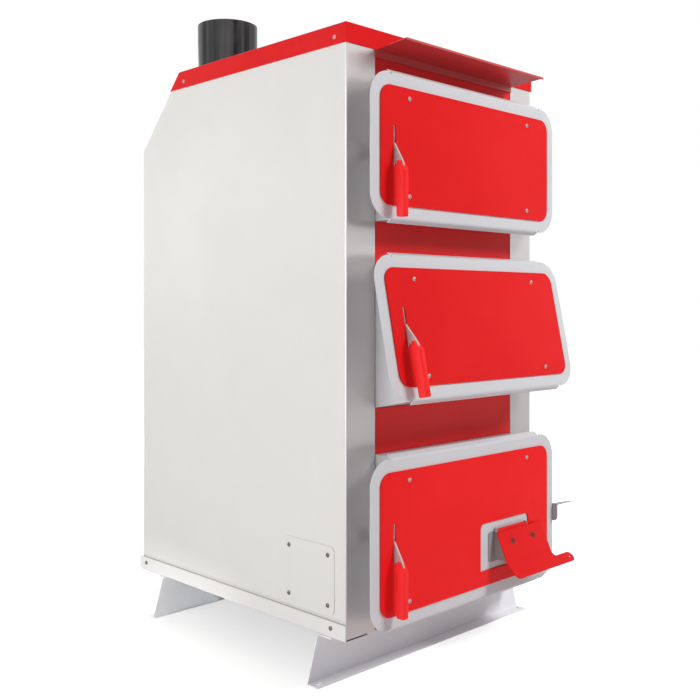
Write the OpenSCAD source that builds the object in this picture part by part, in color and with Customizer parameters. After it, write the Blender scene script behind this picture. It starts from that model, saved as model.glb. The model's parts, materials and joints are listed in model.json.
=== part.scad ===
/* [Casing] */
// Width of the casing over its two side panels
casing_w = 600; // [560:5:660]
// Depth of the casing from the front strips to the rear panel
casing_d = 703; // [680:1:760]
// Height of the side panels above the underside of the skirts
casing_h = 1175; // [1165:5:1230]
// Thickness of the casing sheets
sheet_t = 1.5; // [1:0.25:2]
// Gap between the throats and the white strip that each side panel turns round its front corner
strip_gap = 1.6; // [0.5:0.1:4]
// Height of the lower edge of the white strips above the skirts' underside
strip_lift = 4.5; // [4:0.5:10]
// Width of the fold that each side panel turns round the rear corner
rear_fold_w = 25; // [15:1:40]
// Length, front to back, of the sloping part of the rear
slope_run = 154; // [140:1:160]
// Height of the sloping part of the rear
slope_drop = 164; // [150:1:175]

/* [Cover and visor] */
// Thickness of the red top cover
cover_t = 2; // [1.5:0.25:3]
// Height of the cover's flange, measured from its top
cover_flange = 39.5; // [30:0.5:50]
// Distance of the visor's root from each side of the casing
visor_in = 77; // [70:1:80]
// Distance that each side of the visor spreads towards its front edge
visor_flare = 2.5; // [0:0.5:6]
// Reach of the visor in front of the casing
visor_reach = 87; // [60:1:120]
// Rise of the visor from its root to its front edge
visor_rise = 6.5; // [0:0.5:12]
// Depth of the turned down lip of the visor
visor_lip = 4.5; // [3:0.5:8]
// Height of the leg that fixes the visor to the casing
visor_leg = 12; // [8:1:30]
// Thickness of the visor sheet
visor_t = 2; // [1.5:0.25:3]

/* [Skirts and feet] */
// Height of the skirt rail along each side
skirt_h = 32; // [26:1:40]
// Thickness of the skirt rail
skirt_t = 2; // [1.5:0.25:3]
// Width of the skirt rail's web under the casing
skirt_web = 62; // [58:1:80]
// Overhang of the skirt rail past the rear panel
skirt_over = 11; // [4:1:20]
// Chamfer on the lower rear corner of the skirt rail
skirt_chamfer = 7; // [3:1:10]
// Height of the feet
foot_h = 88.4; // [70:0.2:120]
// Thickness of the foot sheet
foot_t = 3; // [2:0.5:5]
// Depth of the foot flanges
foot_flange = 30; // [26:1:40]
// Overhang of the lower flange past each side of the casing
foot_over = 39; // [30:1:60]
// Overhang of the foot's web at its top past each side of the casing
foot_web_over = 12.7; // [8:0.1:20]
// Overhang of the upper flange past each side of the casing
foot_top_over = 3; // [1:0.5:6]
// Distance of the front foot's flange edge behind the casing front
front_foot_y = 39; // [30:1:60]
// Distance of the rear foot's flange edge ahead of the rear panel
rear_foot_in = 72; // [50:1:100]
// Radius of the anchor hole near each end of a foot
anchor_r = 5.5; // [4:0.5:7]
// Distance of the anchor hole from the end of the foot
anchor_in = 16; // [14:1:24]
// Radius of the bolts that hold the feet to the skirts
foot_bolt_r = 5; // [4:0.5:6]

/* [Side cover plate] */
// Width of the small cover plate on the left side
plate_w = 149; // [120:1:180]
// Height of the small cover plate
plate_h = 132; // [110:1:160]
// Corner radius of the small cover plate
plate_r = 12; // [6:1:16]
// Distance of the plate behind the casing front
plate_y = 32; // [20:1:60]
// Height of the plate's lower edge above the skirts' underside
plate_z = 43; // [38:1:70]
// Inset of the plate's screws from its edges
plate_screw_in = 17.5; // [14:0.5:24]

/* [Screws] */
// Radius of a casing screw head
screw_head_r = 4.5; // [3.5:0.5:5.5]
// Height of a casing screw head
screw_head_h = 2.4; // [1.5:0.1:3]
// Radius of a screw shank
screw_r = 1.9; // [1.5:0.1:2.4]
// Radial clearance of a screw or bolt in its hole
hole_clear = 0.1; // [0.05:0.05:0.3]

/* [Doors] */
// Gap between a door's side edge and the side of the casing
door_side_gap = 2.2; // [1:0.1:5]
// Distance of the upper door's face below the top of the side panels
door_top = 94.5; // [90:0.5:110]
// Gap between the faces of the upper and the loading door
upper_gap = 67.5; // [55:0.5:80]
// Gap between the faces of the loading and the ash door
lower_gap = 114; // [100:1:125]
// Height of the flat face of the ash door; the two others share what is left
ash_door_h = 323.4; // [310:0.2:325]
// Height of the ash door's lower edge above the skirts' underside
ash_door_low = 25.3; // [22:0.1:32]
// Distance of the upright doors' faces in front of the casing
door_out = 62; // [58:1:75]
// Distance of the loading door's centre in front of the casing
loading_out = 91.5; // [86:0.5:110]
// Tilt of the loading door from upright, in degrees
loading_tilt = 11.66; // [9:0.01:13]
// Corner radius of the door pans
pan_r = 50; // [30:1:55]
// Thickness of the door pans
pan_t = 2; // [1.5:0.25:3]
// Distance of a folded edge's ends from the sides of its door
fold_in = 57; // [54:0.5:70]
// Depth of the folded edge behind the face
fold_depth = 12; // [9:0.5:14]
// Flare of the folded edge past the flat face
fold_flare = 7; // [4:0.5:9]
// Bend radius between the face and the folded edge
fold_r = 8; // [4:0.5:10]
// Width of the frame left round the red door panel
frame_w = 25.3; // [20:0.1:34]
// Thickness of the red door panel
panel_t = 3; // [2:0.25:4]
// Corner radius of the red door panel
panel_r = 26; // [15:1:34]
// Inset of the panel screws from the panel's upper and lower edges
panel_screw_z = 20; // [14:1:30]
// Inset of the panel screws from the panel's side edges
panel_screw_in = 79.5; // [70:0.5:90]

/* [Throats, linings and seals] */
// Distance of the throat tubes behind the doors from each side of the casing
throat_side = 80; // [78:1:84]
// Wall of the throat tube
throat_t = 5; // [4:0.5:6]
// Depth from the door's face to the rim of the throat
rim_depth = 18; // [16:0.5:20]
// Thickness of the rope seal behind a door
seal_t = 5.7; // [4.5:0.1:6]
// Width of the rope seal
seal_w = 10; // [8:0.5:10.5]
// Wall of the lip that holds the rope seal in place
lip_t = 2; // [1.5:0.25:2.25]
// Depth from the door's face to the back of its lining
lining_depth = 30; // [26:1:32]
// Gap between a door's lining and the inside of its throat
lining_gap = 7; // [6.5:0.5:9]

/* [Hinges] */
// Radius of the hinge pins
hinge_pin_r = 5; // [4:0.25:5.5]
// Outer radius of the hinge barrels
barrel_r = 8; // [7.5:0.25:8.5]
// Length of a hinge barrel
barrel_l = 30; // [24:1:40]
// Distance of the hinge axis from the side of the casing
hinge_in = 12; // [11:0.5:14]
// Depth of the hinge axis behind the door's face
hinge_depth = 28; // [26:0.5:29]
// Thickness of the hinge ears
ear_t = 6; // [4:0.5:8]
// Radial clearance of a hinge barrel on its pin
pin_clear = 0.06; // [0.02:0.02:0.1]
// Clearance along the axis between a barrel and its ears
ear_gap = 0.5; // [0.3:0.1:1]

/* [Levers] */
// Distance of the lever's middle from the outside of the throat
lever_gap = 15; // [14.5:0.5:17]
// Thickness of the lever plate
lever_t = 4; // [3:0.5:5]
// Half the height of the slit that the lever moves in
slit_half = 38; // [36:1:44]
// Width of the lever's slit
slit_w = 6; // [5.5:0.5:7]
// Depth of the lever's pivot behind the door's face
pivot_depth = 18; // [17:0.5:19]
// Radius of the lever's pivot pin
pivot_r = 4; // [3:0.25:4.5]
// Radius of the lever's boss round its pivot
boss_r = 9; // [8:0.5:9.5]
// Depth of the catch pin behind the door's face
catch_depth = 34; // [33:0.5:36]
// Radius of the catch pin
catch_r = 4; // [3:0.25:4.25]
// Height of the catch pin above the lever's pivot
catch_z = 3; // [2.5:0.25:4]
// Gap between the catch pin and the tooth of the lever at rest
tooth_gap = 0.5; // [0.4:0.1:1]
// Length of the grip
grip_l = 106; // [90:1:120]
// Drop of the grip's top below the lever's pivot
grip_drop = 30; // [26:1:34]
// Depth of the grip's section, front to back
grip_d = 23; // [18:1:26]
// Width of the grip's section
grip_w = 15; // [12:1:18]
// Gap between the grip and the red panel
grip_gap = 8; // [8:0.5:12]
// Chamfer along the edges of the grip
grip_edge = 3.5; // [2:0.5:5]

/* [Air flap] */
// Distance of the flap's right edge from the door's right edge
flap_in = 61.8; // [58:0.2:70]
// Width of the air flap
flap_w = 161; // [150:1:164]
// Length of the flap from its hinge to its bend
flap_l = 74; // [68:1:80]
// Length of the flap's bent lip
flap_lip = 36; // [30:1:42]
// Angle of the closed flap from upright, in degrees
flap_tilt = 24.6; // [20:0.1:30]
// Angle of the flap's lip from upright, in degrees
lip_tilt = 50; // [40:1:60]
// Thickness of the flap
flap_t = 2; // [1.5:0.25:3]
// Drop of the flap's hinge below the door's centre
flap_drop = 26; // [24:1:30]
// Reach of the chain tab past the flap's right edge
tab_reach = 57; // [45:1:60]
// Width of the chain tab
tab_w = 24; // [18:1:28]
// Radius of the chain hole in the tab
chain_r = 2.5; // [2:0.25:3]
// Radius of the flap's hinge rod
rod_r = 2.5; // [2:0.25:2.75]
// Outer radius of the rolled hinge of the flap
roll_r = 4.2; // [4:0.1:4.5]
// Width of the slanted air collar that the flap closes
collar_w = 104; // [96:1:106]
// Height of the air collar
collar_h = 58; // [54:1:62]
// Wall of the air collar
collar_t = 1.5; // [1:0.25:2]
// Width of the cut-out in the red panel round the collar
cutout_w = 170; // [166:1:172]
// Height of the cut-out in the red panel
cutout_h = 99; // [96:1:106]
// Corner radius of the cut-out
cutout_r = 12; // [6:1:16]
// Distance of the cut-out's left edge from the flap's left edge
cutout_over = 46; // [44:1:50]
// Drop of the cut-out's upper edge below the door's centre
cutout_drop = 6; // [4:1:10]

/* [Chain bracket] */
// Reach of the bracket past the door's right edge
bracket_reach = 52; // [40:1:60]
// Width of the bracket at its root
bracket_root = 15; // [12:1:18]
// Height of the bracket's leg
bracket_leg = 39; // [30:1:50]
// Radius of the leg's lower front corner
bracket_r = 11; // [5:0.5:11.5]
// Thickness of the bracket
bracket_t = 2; // [1.5:0.25:3]
// Height of the bracket's top relative to the ash door's centre
bracket_z = -1; // [-10:1:10]

/* [Pressure vessel] */
// Gap between the side panels and the vessel
vessel_side_gap = 38; // [34:1:44]
// Gap between the casing front and the vessel
vessel_front_gap = 30; // [24:1:36]
// Gap between the rear panel and the vessel
vessel_rear_gap = 63; // [55:1:80]
// Gap between the top of the side panels and the vessel
vessel_top_gap = 60; // [55:1:66]
// Plate thickness of the vessel and the firebox
plate_t = 5; // [4:0.5:6]
// Width of the water space round the firebox
water_gap = 32; // [28:1:34]
// Height of the water space above the firebox
water_top = 24; // [20:1:26]
// Length of the vessel's chamfer at its upper rear edge
vessel_chamfer = 72; // [60:1:90]
// Height of the grate's top above the ash door's face
grate_lift = 36.3; // [30:0.1:45]
// Thickness of the cast grate
grate_t = 25; // [20:1:28]
// Number of loose bars in the grate
grate_bars = 12; // [9:1:14]
// Gap between two bars of the grate
bar_gap = 14; // [10:1:18]
// Distance of the lower water shelf below the upper one
shelf_pitch = 130; // [122:1:134]
// Gap between the upper water shelf and the gas duct above it
duct_lift = 7; // [4:1:10]
// Thickness of the water shelves
shelf_t = 30; // [24:1:32]
// Gap that the gases pass at the end of each shelf
shelf_gap = 125; // [100:1:150]

/* [Ash pan] */
// Height of the ash pan
ash_h = 90; // [60:1:110]
// Gap between the ash pan and the ash throat on each side
ash_side_gap = 20; // [16:1:40]
// Sheet thickness of the ash pan
ash_t = 2; // [1.5:0.25:3]
// Gap in front of and behind the ash pan in the firebox
ash_end_gap = 16; // [10:1:30]

/* [Flue and water sockets] */
// Outer radius of the flue pipe
flue_r = 79.5; // [65:0.5:90]
// Wall of the flue pipe and the flue box
flue_t = 4; // [3:0.5:5]
// Height of the flue pipe's end above the top of the side panels
flue_rise = 212; // [150:1:260]
// Distance of the flue pipe's axis behind the rear panel
flue_behind = 62.5; // [40:0.5:66]
// Margin of the flue box round the flue pipe
flue_margin = 15.5; // [8:0.5:24]
// Height of the flue box
flue_box_h = 145; // [143:1:160]
// Distance of the flue box's underside below the foot of the sloping rear
flue_box_drop = 121; // [120:1:126]
// Height of the gas duct inside the flue box
duct_h = 86; // [70:1:90]
// Height of the gas duct's floor above the underside of the flue box
duct_up = 22; // [16:1:24]
// Length of the flue pipe above its stop ring
spigot_l = 250; // [150:5:260]
// Height of the stop ring on the flue pipe
stop_h = 6; // [4:0.5:10]
// Width that the stop ring stands proud of the flue pipe
stop_out = 4; // [2:0.5:6]
// Outer radius of the supply and return sockets
socket_r = 35; // [33:0.5:38]
// Bore radius of the supply and return sockets
socket_bore = 28.3; // [24:0.1:30]
// Outer radius of the drain socket
drain_r = 13.5; // [12.5:0.5:16]
// Bore radius of the drain socket
drain_bore = 9.3; // [8:0.1:10.5]
// Length of the sockets past the rear panel
socket_out = 37; // [20:1:60]
// Distance of the sockets from the sides of the casing
socket_in = 120; // [110:1:140]
// Distance of the supply socket below the foot of the sloping rear
supply_drop = 61; // [52:1:90]
// Height of the return socket above the skirts' underside
return_z = 90; // [70:1:120]
// Height of the drain socket above the skirts' underside
drain_z = 45; // [40:1:60]

/* [Hidden] */
$fn = 64;

// Gap that keeps a loose or soft piece just clear of its seat
seat_gap = 0.3;
// Overrun of a cutting body past the face it opens
over = 1;

white = [0.88, 0.875, 0.86];
grey = [0.72, 0.73, 0.75];
red = [0.88, 0.13, 0.13];
steel = [0.45, 0.46, 0.48];
dark = [0.17, 0.17, 0.18];
mineral = [0.78, 0.72, 0.55];

half_w = casing_w / 2;
cover_top = casing_h + cover_t;
slope_y = casing_d - slope_run;
slope_z = casing_h - slope_drop;

throat_w = casing_w - 2 * throat_side;
strip_w = throat_side - strip_gap;
visor_root_w = casing_w - 2 * visor_in;
visor_front_w = visor_root_w + 2 * visor_flare;

door_w = casing_w - 2 * door_side_gap;
panel_w = door_w - 2 * frame_w;
fold_w = door_w - 2 * fold_in;
panel_screw_x = panel_w / 2 - panel_screw_in;
doors_room = casing_h - door_top - upper_gap - lower_gap - ash_door_h - ash_door_low;
door_h = doors_room / (1 + cos(loading_tilt));
ash_door_z = ash_door_low + ash_door_h / 2;
loading_door_z = ash_door_low + ash_door_h + lower_gap + door_h * cos(loading_tilt) / 2;
upper_door_z = casing_h - door_top - door_h / 2;
throat_in = 1;
hinge_x = half_w - hinge_in;
lever_x = throat_w / 2 + lever_gap;
hinge_share = 0.33;

vessel_half = half_w - vessel_side_gap;
vessel_back = casing_d - vessel_rear_gap;
vessel_top = casing_h - vessel_top_gap;
box_half = vessel_half - plate_t - water_gap;
box_front = vessel_front_gap + plate_t + water_gap;
box_back = vessel_back - plate_t - water_gap;
box_top = vessel_top - plate_t - water_top;
box_in = box_half - plate_t;
floor_z = ash_door_z - ash_door_h / 2 + throat_in + throat_t - plate_t;
flue_y = casing_d + flue_behind;
flue_half = flue_r + flue_margin;
flue_top = casing_h + flue_rise;
flue_box_z = slope_z - flue_box_drop;
duct_z = flue_box_z + duct_up;
duct_half = flue_half - flue_t;
grate_z = ash_door_low + ash_door_h + grate_lift;
shelf2_z = duct_z - duct_lift - shelf_t;
shelf1_z = shelf2_z - shelf_pitch;
socket_x = half_w - socket_in;
supply_z = slope_z - supply_drop;

// Grip outline in its door's frame, front to back and up
grip_back_y = -panel_t - grip_gap;
grip_front_y = grip_back_y - grip_d;
grip_top = -grip_drop;
grip_low = grip_top - grip_l;
grip_shoulder_share = 0.56;
grip_slope_share = 0.2;

// Extent of the whole boiler, which places its frame
low_x = -half_w - foot_over;
high_x = max(half_w + foot_over, door_w / 2 + bracket_t + bracket_reach);
low_y = -loading_out + grip_front_y * cos(loading_tilt)
  + (grip_low + grip_edge) * sin(loading_tilt);
high_y = max(flue_y + flue_half, casing_d + socket_out);
mid_x = (low_x + high_x) / 2;
mid_y = (low_y + high_y) / 2;

// Moves a piece from the casing's frame to the part's frame
module stand() {
  translate([-mid_x, -mid_y, foot_h]) children();
}

// Extrudes an outline drawn in depth and height across the width from x0 to x1
module across(x0, x1) {
  translate([x0, 0, 0]) rotate([90, 0, 90]) linear_extrude(x1 - x0) children();
}

// Block between two opposite corners
module block(a, b) {
  translate(a) cube(b - a);
}

// Corner of an outline moved inwards by t, for points that run anticlockwise
function unit(v) = v / norm(v);
function inward(a, b) = let (d = unit(b - a)) [-d[1], d[0]];
function moved(a, b, c, t) =
  let (m = inward(a, b), n = inward(b, c))
  b + t / (1 + m * n) * (m + n);
function inset(p, t) =
  [for (i = [0:len(p) - 1]) moved(p[(i + len(p) - 1) % len(p)], p[i], p[(i + 1) % len(p)], t)];

// Points of an arc round a centre
function arc(centre, r, from, to, steps) =
  [for (i = [0:steps]) let (a = from + (to - from) * i / steps)
    centre + r * [cos(a), sin(a)]];

// Rounded rectangle about the origin
module rounded(w, h, r) {
  square([w - 2 * r, h], center = true);
  square([w, h - 2 * r], center = true);
  for (sx = [-1, 1])
    for (sz = [-1, 1])
      translate([sx * (w / 2 - r), sz * (h / 2 - r)]) circle(r);
}

// Sheet that faces the front, from depth y0 to y1
module facing(y0, y1) {
  translate([0, y1, 0]) rotate([90, 0, 0]) linear_extrude(y1 - y0) children();
}

// Screw with a domed head, its shank along -Z from the head's seat
module screw(shank) {
  rotate_extrude() polygon(concat(
    [[0, -shank], [screw_r, -shank], [screw_r, 0], [screw_head_r, 0]],
    [[screw_head_r, screw_head_h / 3], [screw_head_r * 2 / 3, screw_head_h], [0, screw_head_h]]
  ));
}

// Casing

casing_outline = [
  [0, skirt_t], [casing_d, skirt_t], [casing_d, slope_z], [slope_y, casing_h], [0, casing_h]
];

cover_screw_front = 30;
cover_screw_back = slope_y - 17;
cover_screw_drop = 25;
skirt_screw_front = 40.8;
skirt_screw_back = 15.3;
skirt_screw_z = 18.5;
screw_len = 6;

cover_screw_z = cover_top - cover_screw_drop;
// Places of the side screws as depth, height and thickness of what they hold
side_screws = [
  [cover_screw_front, cover_screw_z, cover_t],
  [cover_screw_back, cover_screw_z, cover_t],
  [skirt_screw_front, skirt_screw_z, skirt_t],
  [casing_d - skirt_screw_back, skirt_screw_z, skirt_t]
];
plate_screws = [
  for (sy = [0, 1]) for (sz = [0, 1]) [
    plate_y + plate_screw_in + sy * (plate_w - 2 * plate_screw_in),
    plate_z + plate_screw_in + sz * (plate_h - 2 * plate_screw_in),
    sheet_t
  ]
];

// Screws or their holes through the left side
module side_holes(places) {
  for (p = places)
    translate([-half_w - p[2] - over, p[0], p[1]]) rotate([0, 90, 0])
      cylinder(h = screw_len + p[2] + over, r = screw_r + hole_clear);
}

module side_sheet(places) {
  difference() {
    union() {
      across(-half_w, -half_w + sheet_t) polygon(casing_outline);
      block([-half_w, 0, strip_lift], [-half_w + strip_w, sheet_t, casing_h]);
      block([-half_w, casing_d - 2 * sheet_t, strip_lift],
            [-half_w + rear_fold_w, casing_d - sheet_t, slope_z - rear_fold_w]);
    }
    side_holes(places);
  }
}

module left_side_panel() {
  color(white) stand() side_sheet(concat(side_screws, plate_screws));
}

module right_side_panel() {
  color(white) stand() mirror([1, 0, 0]) side_sheet(side_screws);
}

front_lap = 28;
panel_gap = 1;

module front_panel() {
  color(red) stand() difference() {
    block([-half_w + strip_w - front_lap, sheet_t, strip_lift],
          [half_w - strip_w + front_lap, 2 * sheet_t, casing_h]);
    upper_place() throat_block(door_h, panel_gap);
    loading_place() throat_block(door_h, panel_gap);
    ash_place() throat_block(ash_door_h, panel_gap);
  }
}

rear_in = half_w - sheet_t;

module rear_panel() {
  color(white) stand() difference() {
    intersection() {
      across(-rear_in, rear_in) difference() {
        polygon(casing_outline);
        polygon(inset(casing_outline, sheet_t));
      }
      union() {
        block([-half_w, casing_d - sheet_t, strip_lift], [half_w, casing_d, slope_z]);
        block([-half_w, slope_y, slope_z], [half_w, casing_d, casing_h - sheet_t]);
      }
    }
    block([-flue_half - panel_gap, casing_d - 2 * sheet_t, duct_z - flue_t - panel_gap],
          [flue_half + panel_gap, casing_d + over, duct_z + duct_h + flue_t + panel_gap]);
    translate([socket_x, 0, supply_z]) socket_hole(socket_r);
    translate([-socket_x, 0, return_z]) socket_hole(socket_r);
    translate([socket_x, 0, drain_z]) socket_hole(drain_r);
  }
}

module socket_hole(r) {
  translate([0, casing_d + over, 0]) rotate([90, 0, 0])
    cylinder(h = 2 * sheet_t + over, r = r + panel_gap);
}

module top_cover() {
  outer = inset(casing_outline, -cover_t);
  color(red) stand() difference() {
    intersection() {
      across(-half_w - cover_t, half_w + cover_t) polygon(outer);
      block([-casing_w, -casing_d, cover_top - cover_flange],
            [casing_w, 2 * casing_d, cover_top + over]);
    }
    across(-half_w, half_w) polygon(casing_outline);
    for (s = [0, 1]) mirror([s, 0, 0]) side_holes([side_screws[0], side_screws[1]]);
  }
}

visor_z = cover_top - cover_flange - visor_t - seat_gap;

module visor() {
  // Top and underside of the visor as a sheet seen from the side
  slant = atan(visor_rise / visor_reach);
  color(red) stand() union() {
    block([-visor_root_w / 2, -visor_t, visor_z - visor_leg], [visor_root_w / 2, 0, visor_z]);
    intersection() {
      across(-visor_front_w / 2, visor_front_w / 2) polygon([
        [0, visor_z], [0, visor_z + visor_t], [-visor_t, visor_z + visor_t],
        [-visor_reach, visor_z + visor_t + visor_rise],
        [-visor_reach, visor_z + visor_t + visor_rise - visor_lip],
        [-visor_reach + visor_t, visor_z + visor_t + visor_rise - visor_lip],
        [-visor_reach + visor_t, visor_z + visor_rise - visor_t * tan(slant)],
        [-visor_t, visor_z]
      ]);
      translate([0, 0, visor_z - over]) linear_extrude(visor_rise + visor_t + 2 * over) polygon([
        [-visor_root_w / 2, 0], [-visor_front_w / 2, -visor_reach],
        [visor_front_w / 2, -visor_reach], [visor_root_w / 2, 0]
      ]);
    }
  }
}

module skirt() {
  end = casing_d + skirt_over;
  difference() {
    union() {
      across(-half_w - skirt_t, -half_w) polygon([
        [0, 0], [end - skirt_chamfer, 0], [end, skirt_chamfer], [end, skirt_h], [0, skirt_h]
      ]);
      block([-half_w - skirt_t, 0, 0], [-half_w - skirt_t + skirt_web, casing_d, skirt_t]);
    }
    side_holes([side_screws[2], side_screws[3]]);
    for (y = foot_bolt_ys)
      translate([-foot_bolt_x, y, -over])
        cylinder(h = skirt_t + 2 * over, r = foot_bolt_r + hole_clear);
  }
}

module left_skirt() {
  color(grey) stand() skirt();
}

module right_skirt() {
  color(grey) stand() mirror([1, 0, 0]) skirt();
}

module side_screw_set(places) {
  for (p = places)
    translate([-half_w - p[2], p[0], p[1]]) rotate([0, -90, 0]) screw(screw_len);
}

module casing_screws() {
  color(steel) stand() {
    side_screw_set(concat(side_screws, plate_screws));
    mirror([1, 0, 0]) side_screw_set(side_screws);
  }
}

module side_cover_plate() {
  color(white) stand() difference() {
    translate([-half_w - sheet_t, plate_y + plate_w / 2, plate_z + plate_h / 2])
      rotate([90, 0, 90]) linear_extrude(sheet_t) rounded(plate_w, plate_h, plate_r);
    side_holes(plate_screws);
  }
}

// Feet

foot_bolt_x = half_w - skirt_web / 3;
foot_bolt_in = foot_flange / 2;
foot_bolt_ys = [front_foot_y + foot_bolt_in, casing_d - rear_foot_in - foot_bolt_in];
bolt_head_share = 1.7;
bolt_head_h = 5;

// Foot with its flanges towards -Y and its web at depth 0
module foot() {
  low_half = half_w + foot_over;
  web_half = half_w + foot_web_over;
  top_half = half_w + foot_top_over;
  difference() {
    union() {
      block([-low_half, -foot_flange, -foot_h], [low_half, 0, -foot_h + foot_t]);
      facing(-foot_t, 0) polygon([
        [-low_half, -foot_h], [low_half, -foot_h],
        [web_half, 0], [-web_half, 0]
      ]);
      block([-top_half, -foot_flange, -foot_t], [top_half, 0, 0]);
    }
    for (s = [-1, 1]) {
      translate([s * (low_half - anchor_in), -foot_flange / 2, -foot_h - over])
        cylinder(h = foot_t + 2 * over, r = anchor_r);
      translate([s * foot_bolt_x, -foot_flange + foot_bolt_in, -foot_t - over])
        cylinder(h = foot_t + 2 * over, r = foot_bolt_r + hole_clear);
    }
  }
}

module front_foot() {
  color(grey) stand() translate([0, front_foot_y + foot_flange, 0]) foot();
}

module rear_foot() {
  color(grey) stand() translate([0, casing_d - rear_foot_in - foot_flange, 0])
    mirror([0, 1, 0]) foot();
}

module foot_bolts() {
  head_r = foot_bolt_r * bolt_head_share;
  color(steel) stand() for (s = [-1, 1]) for (y = foot_bolt_ys)
    translate([s * foot_bolt_x, y, -foot_t - bolt_head_h]) {
      cylinder(h = bolt_head_h, r = head_r, $fn = 6);
      cylinder(h = foot_t + skirt_t + 2 * bolt_head_h, r = foot_bolt_r);
      translate([0, 0, bolt_head_h + foot_t + skirt_t]) cylinder(h = bolt_head_h, r = head_r, $fn = 6);
    }
}

// Pressure vessel

vessel_outline = [
  [vessel_front_gap, skirt_t], [vessel_back, skirt_t], [vessel_back, vessel_top - vessel_chamfer],
  [vessel_back - vessel_chamfer, vessel_top], [vessel_front_gap, vessel_top]
];
chamfer_share = 0.7;
box_chamfer = vessel_chamfer * chamfer_share;
box_outline = [
  [box_front, floor_z], [box_back, floor_z], [box_back, box_top - box_chamfer],
  [box_back - box_chamfer, box_top], [box_front, box_top]
];

module throat_cuts() {
  upper_place() throat_block(door_h, 0);
  loading_place() throat_block(door_h, 0);
  ash_place() throat_block(ash_door_h, 0);
}

module duct_cut() {
  block([-flue_half, box_back - plate_t - over, duct_z - flue_t],
        [flue_half, casing_d, duct_z + duct_h + flue_t]);
}

module vessel_shell() {
  color(steel) stand() difference() {
    across(-vessel_half, vessel_half) polygon(vessel_outline);
    across(-vessel_half + plate_t, vessel_half - plate_t) polygon(inset(vessel_outline, plate_t));
    throat_cuts();
    duct_cut();
    translate([socket_x, 0, supply_z]) vessel_port(socket_r);
    translate([-socket_x, 0, return_z]) vessel_port(socket_r);
    translate([socket_x, 0, drain_z]) vessel_port(drain_r);
  }
}

module vessel_port(r) {
  translate([0, vessel_back + over, 0]) rotate([90, 0, 0])
    cylinder(h = plate_t + 2 * over, r = r);
}

ledge_w = 20;
ledge_h = 10;
grate_gap = 12;
taper_share = 0.12;

module firebox_shell() {
  ledge_z = grate_z - grate_t;
  color(steel) stand() {
    difference() {
      across(-box_half, box_half) polygon(box_outline);
      across(-box_in, box_in) polygon(inset(box_outline, plate_t));
      throat_cuts();
      duct_cut();
      shelf_void(lower_shelf);
      shelf_void(upper_shelf);
    }
    for (s = [0, 1]) mirror([s, 0, 0])
      block([box_in - ledge_w, box_front + plate_t, ledge_z - ledge_h],
            [box_in, box_back - plate_t, ledge_z]);
  }
}

// Each shelf as front, back, underside and top
lower_shelf = [box_front + plate_t, box_back - plate_t - shelf_gap, shelf1_z];
upper_shelf = [box_front + plate_t + shelf_gap, box_back - plate_t, shelf2_z];

module shelf_void(s) {
  block([-box_half - over, s[0] + plate_t, s[2] + plate_t],
        [box_half + over, s[1] - plate_t, s[2] + shelf_t - plate_t]);
}

module shelf(s) {
  difference() {
    block([-box_in, s[0], s[2]], [box_in, s[1], s[2] + shelf_t]);
    shelf_void(s);
  }
}

module lower_water_shelf() {
  color(steel) stand() shelf(lower_shelf);
}

module upper_water_shelf() {
  color(steel) stand() shelf(upper_shelf);
}

// Loose bars that lie across the firebox on its side ledges, each a little narrower below
module grate() {
  half = box_in - seat_gap - ledge_w / 4;
  front = box_front + plate_t + grate_gap;
  back = box_back - plate_t - grate_gap;
  bar_w = (back - front - (grate_bars - 1) * bar_gap) / grate_bars;
  color(dark) stand() for (i = [0:grate_bars - 1])
    translate([0, front + i * (bar_w + bar_gap), grate_z - grate_t]) across(-half, half) polygon([
      [bar_w * taper_share, 0], [bar_w * (1 - taper_share), 0], [bar_w, grate_t], [0, grate_t]
    ]);
}

loop_share = 0.6;

module ash_pan() {
  half = throat_w / 2 - throat_t - ash_side_gap;
  front = box_front + plate_t + ash_end_gap;
  back = box_back - plate_t - ash_end_gap;
  base = floor_z + plate_t;
  loop_w = half / 2;
  loop_out = ash_end_gap * 2;
  loop_t = 3 * ash_t;
  loop_z = base + ash_h * loop_share;
  color(grey) stand() {
    difference() {
      block([-half, front, base], [half, back, base + ash_h]);
      block([-half + ash_t, front + ash_t, base + ash_t],
            [half - ash_t, back - ash_t, base + ash_h + over]);
    }
    difference() {
      block([-loop_w / 2, front - loop_out, loop_z], [loop_w / 2, front, loop_z + 2 * loop_t]);
      block([-loop_w / 2 + loop_t, front - loop_out + loop_t, loop_z - over],
            [loop_w / 2 - loop_t, front, loop_z + 2 * loop_t + over]);
    }
  }
}

// Places of the doors: centre of the face, height along the door

module upper_place() {
  translate([0, -door_out, upper_door_z]) children();
}

module loading_place() {
  translate([0, -loading_out, loading_door_z]) rotate([-loading_tilt, 0, 0]) children();
}

module ash_place() {
  translate([0, -door_out, ash_door_z]) children();
}

// Throats, in the frame of their door

throat_reach = 260;

module throat_block(h, grow) {
  block([-throat_w / 2 - grow, rim_depth, -h / 2 + throat_in - grow],
        [throat_w / 2 + grow, throat_reach, h / 2 - throat_in + grow]);
}

module throat_bore(h) {
  block([-throat_w / 2 + throat_t, rim_depth - over, -h / 2 + throat_in + throat_t],
        [throat_w / 2 - throat_t, throat_reach + over, h / 2 - throat_in - throat_t]);
}

catch_over = 4;

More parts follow.
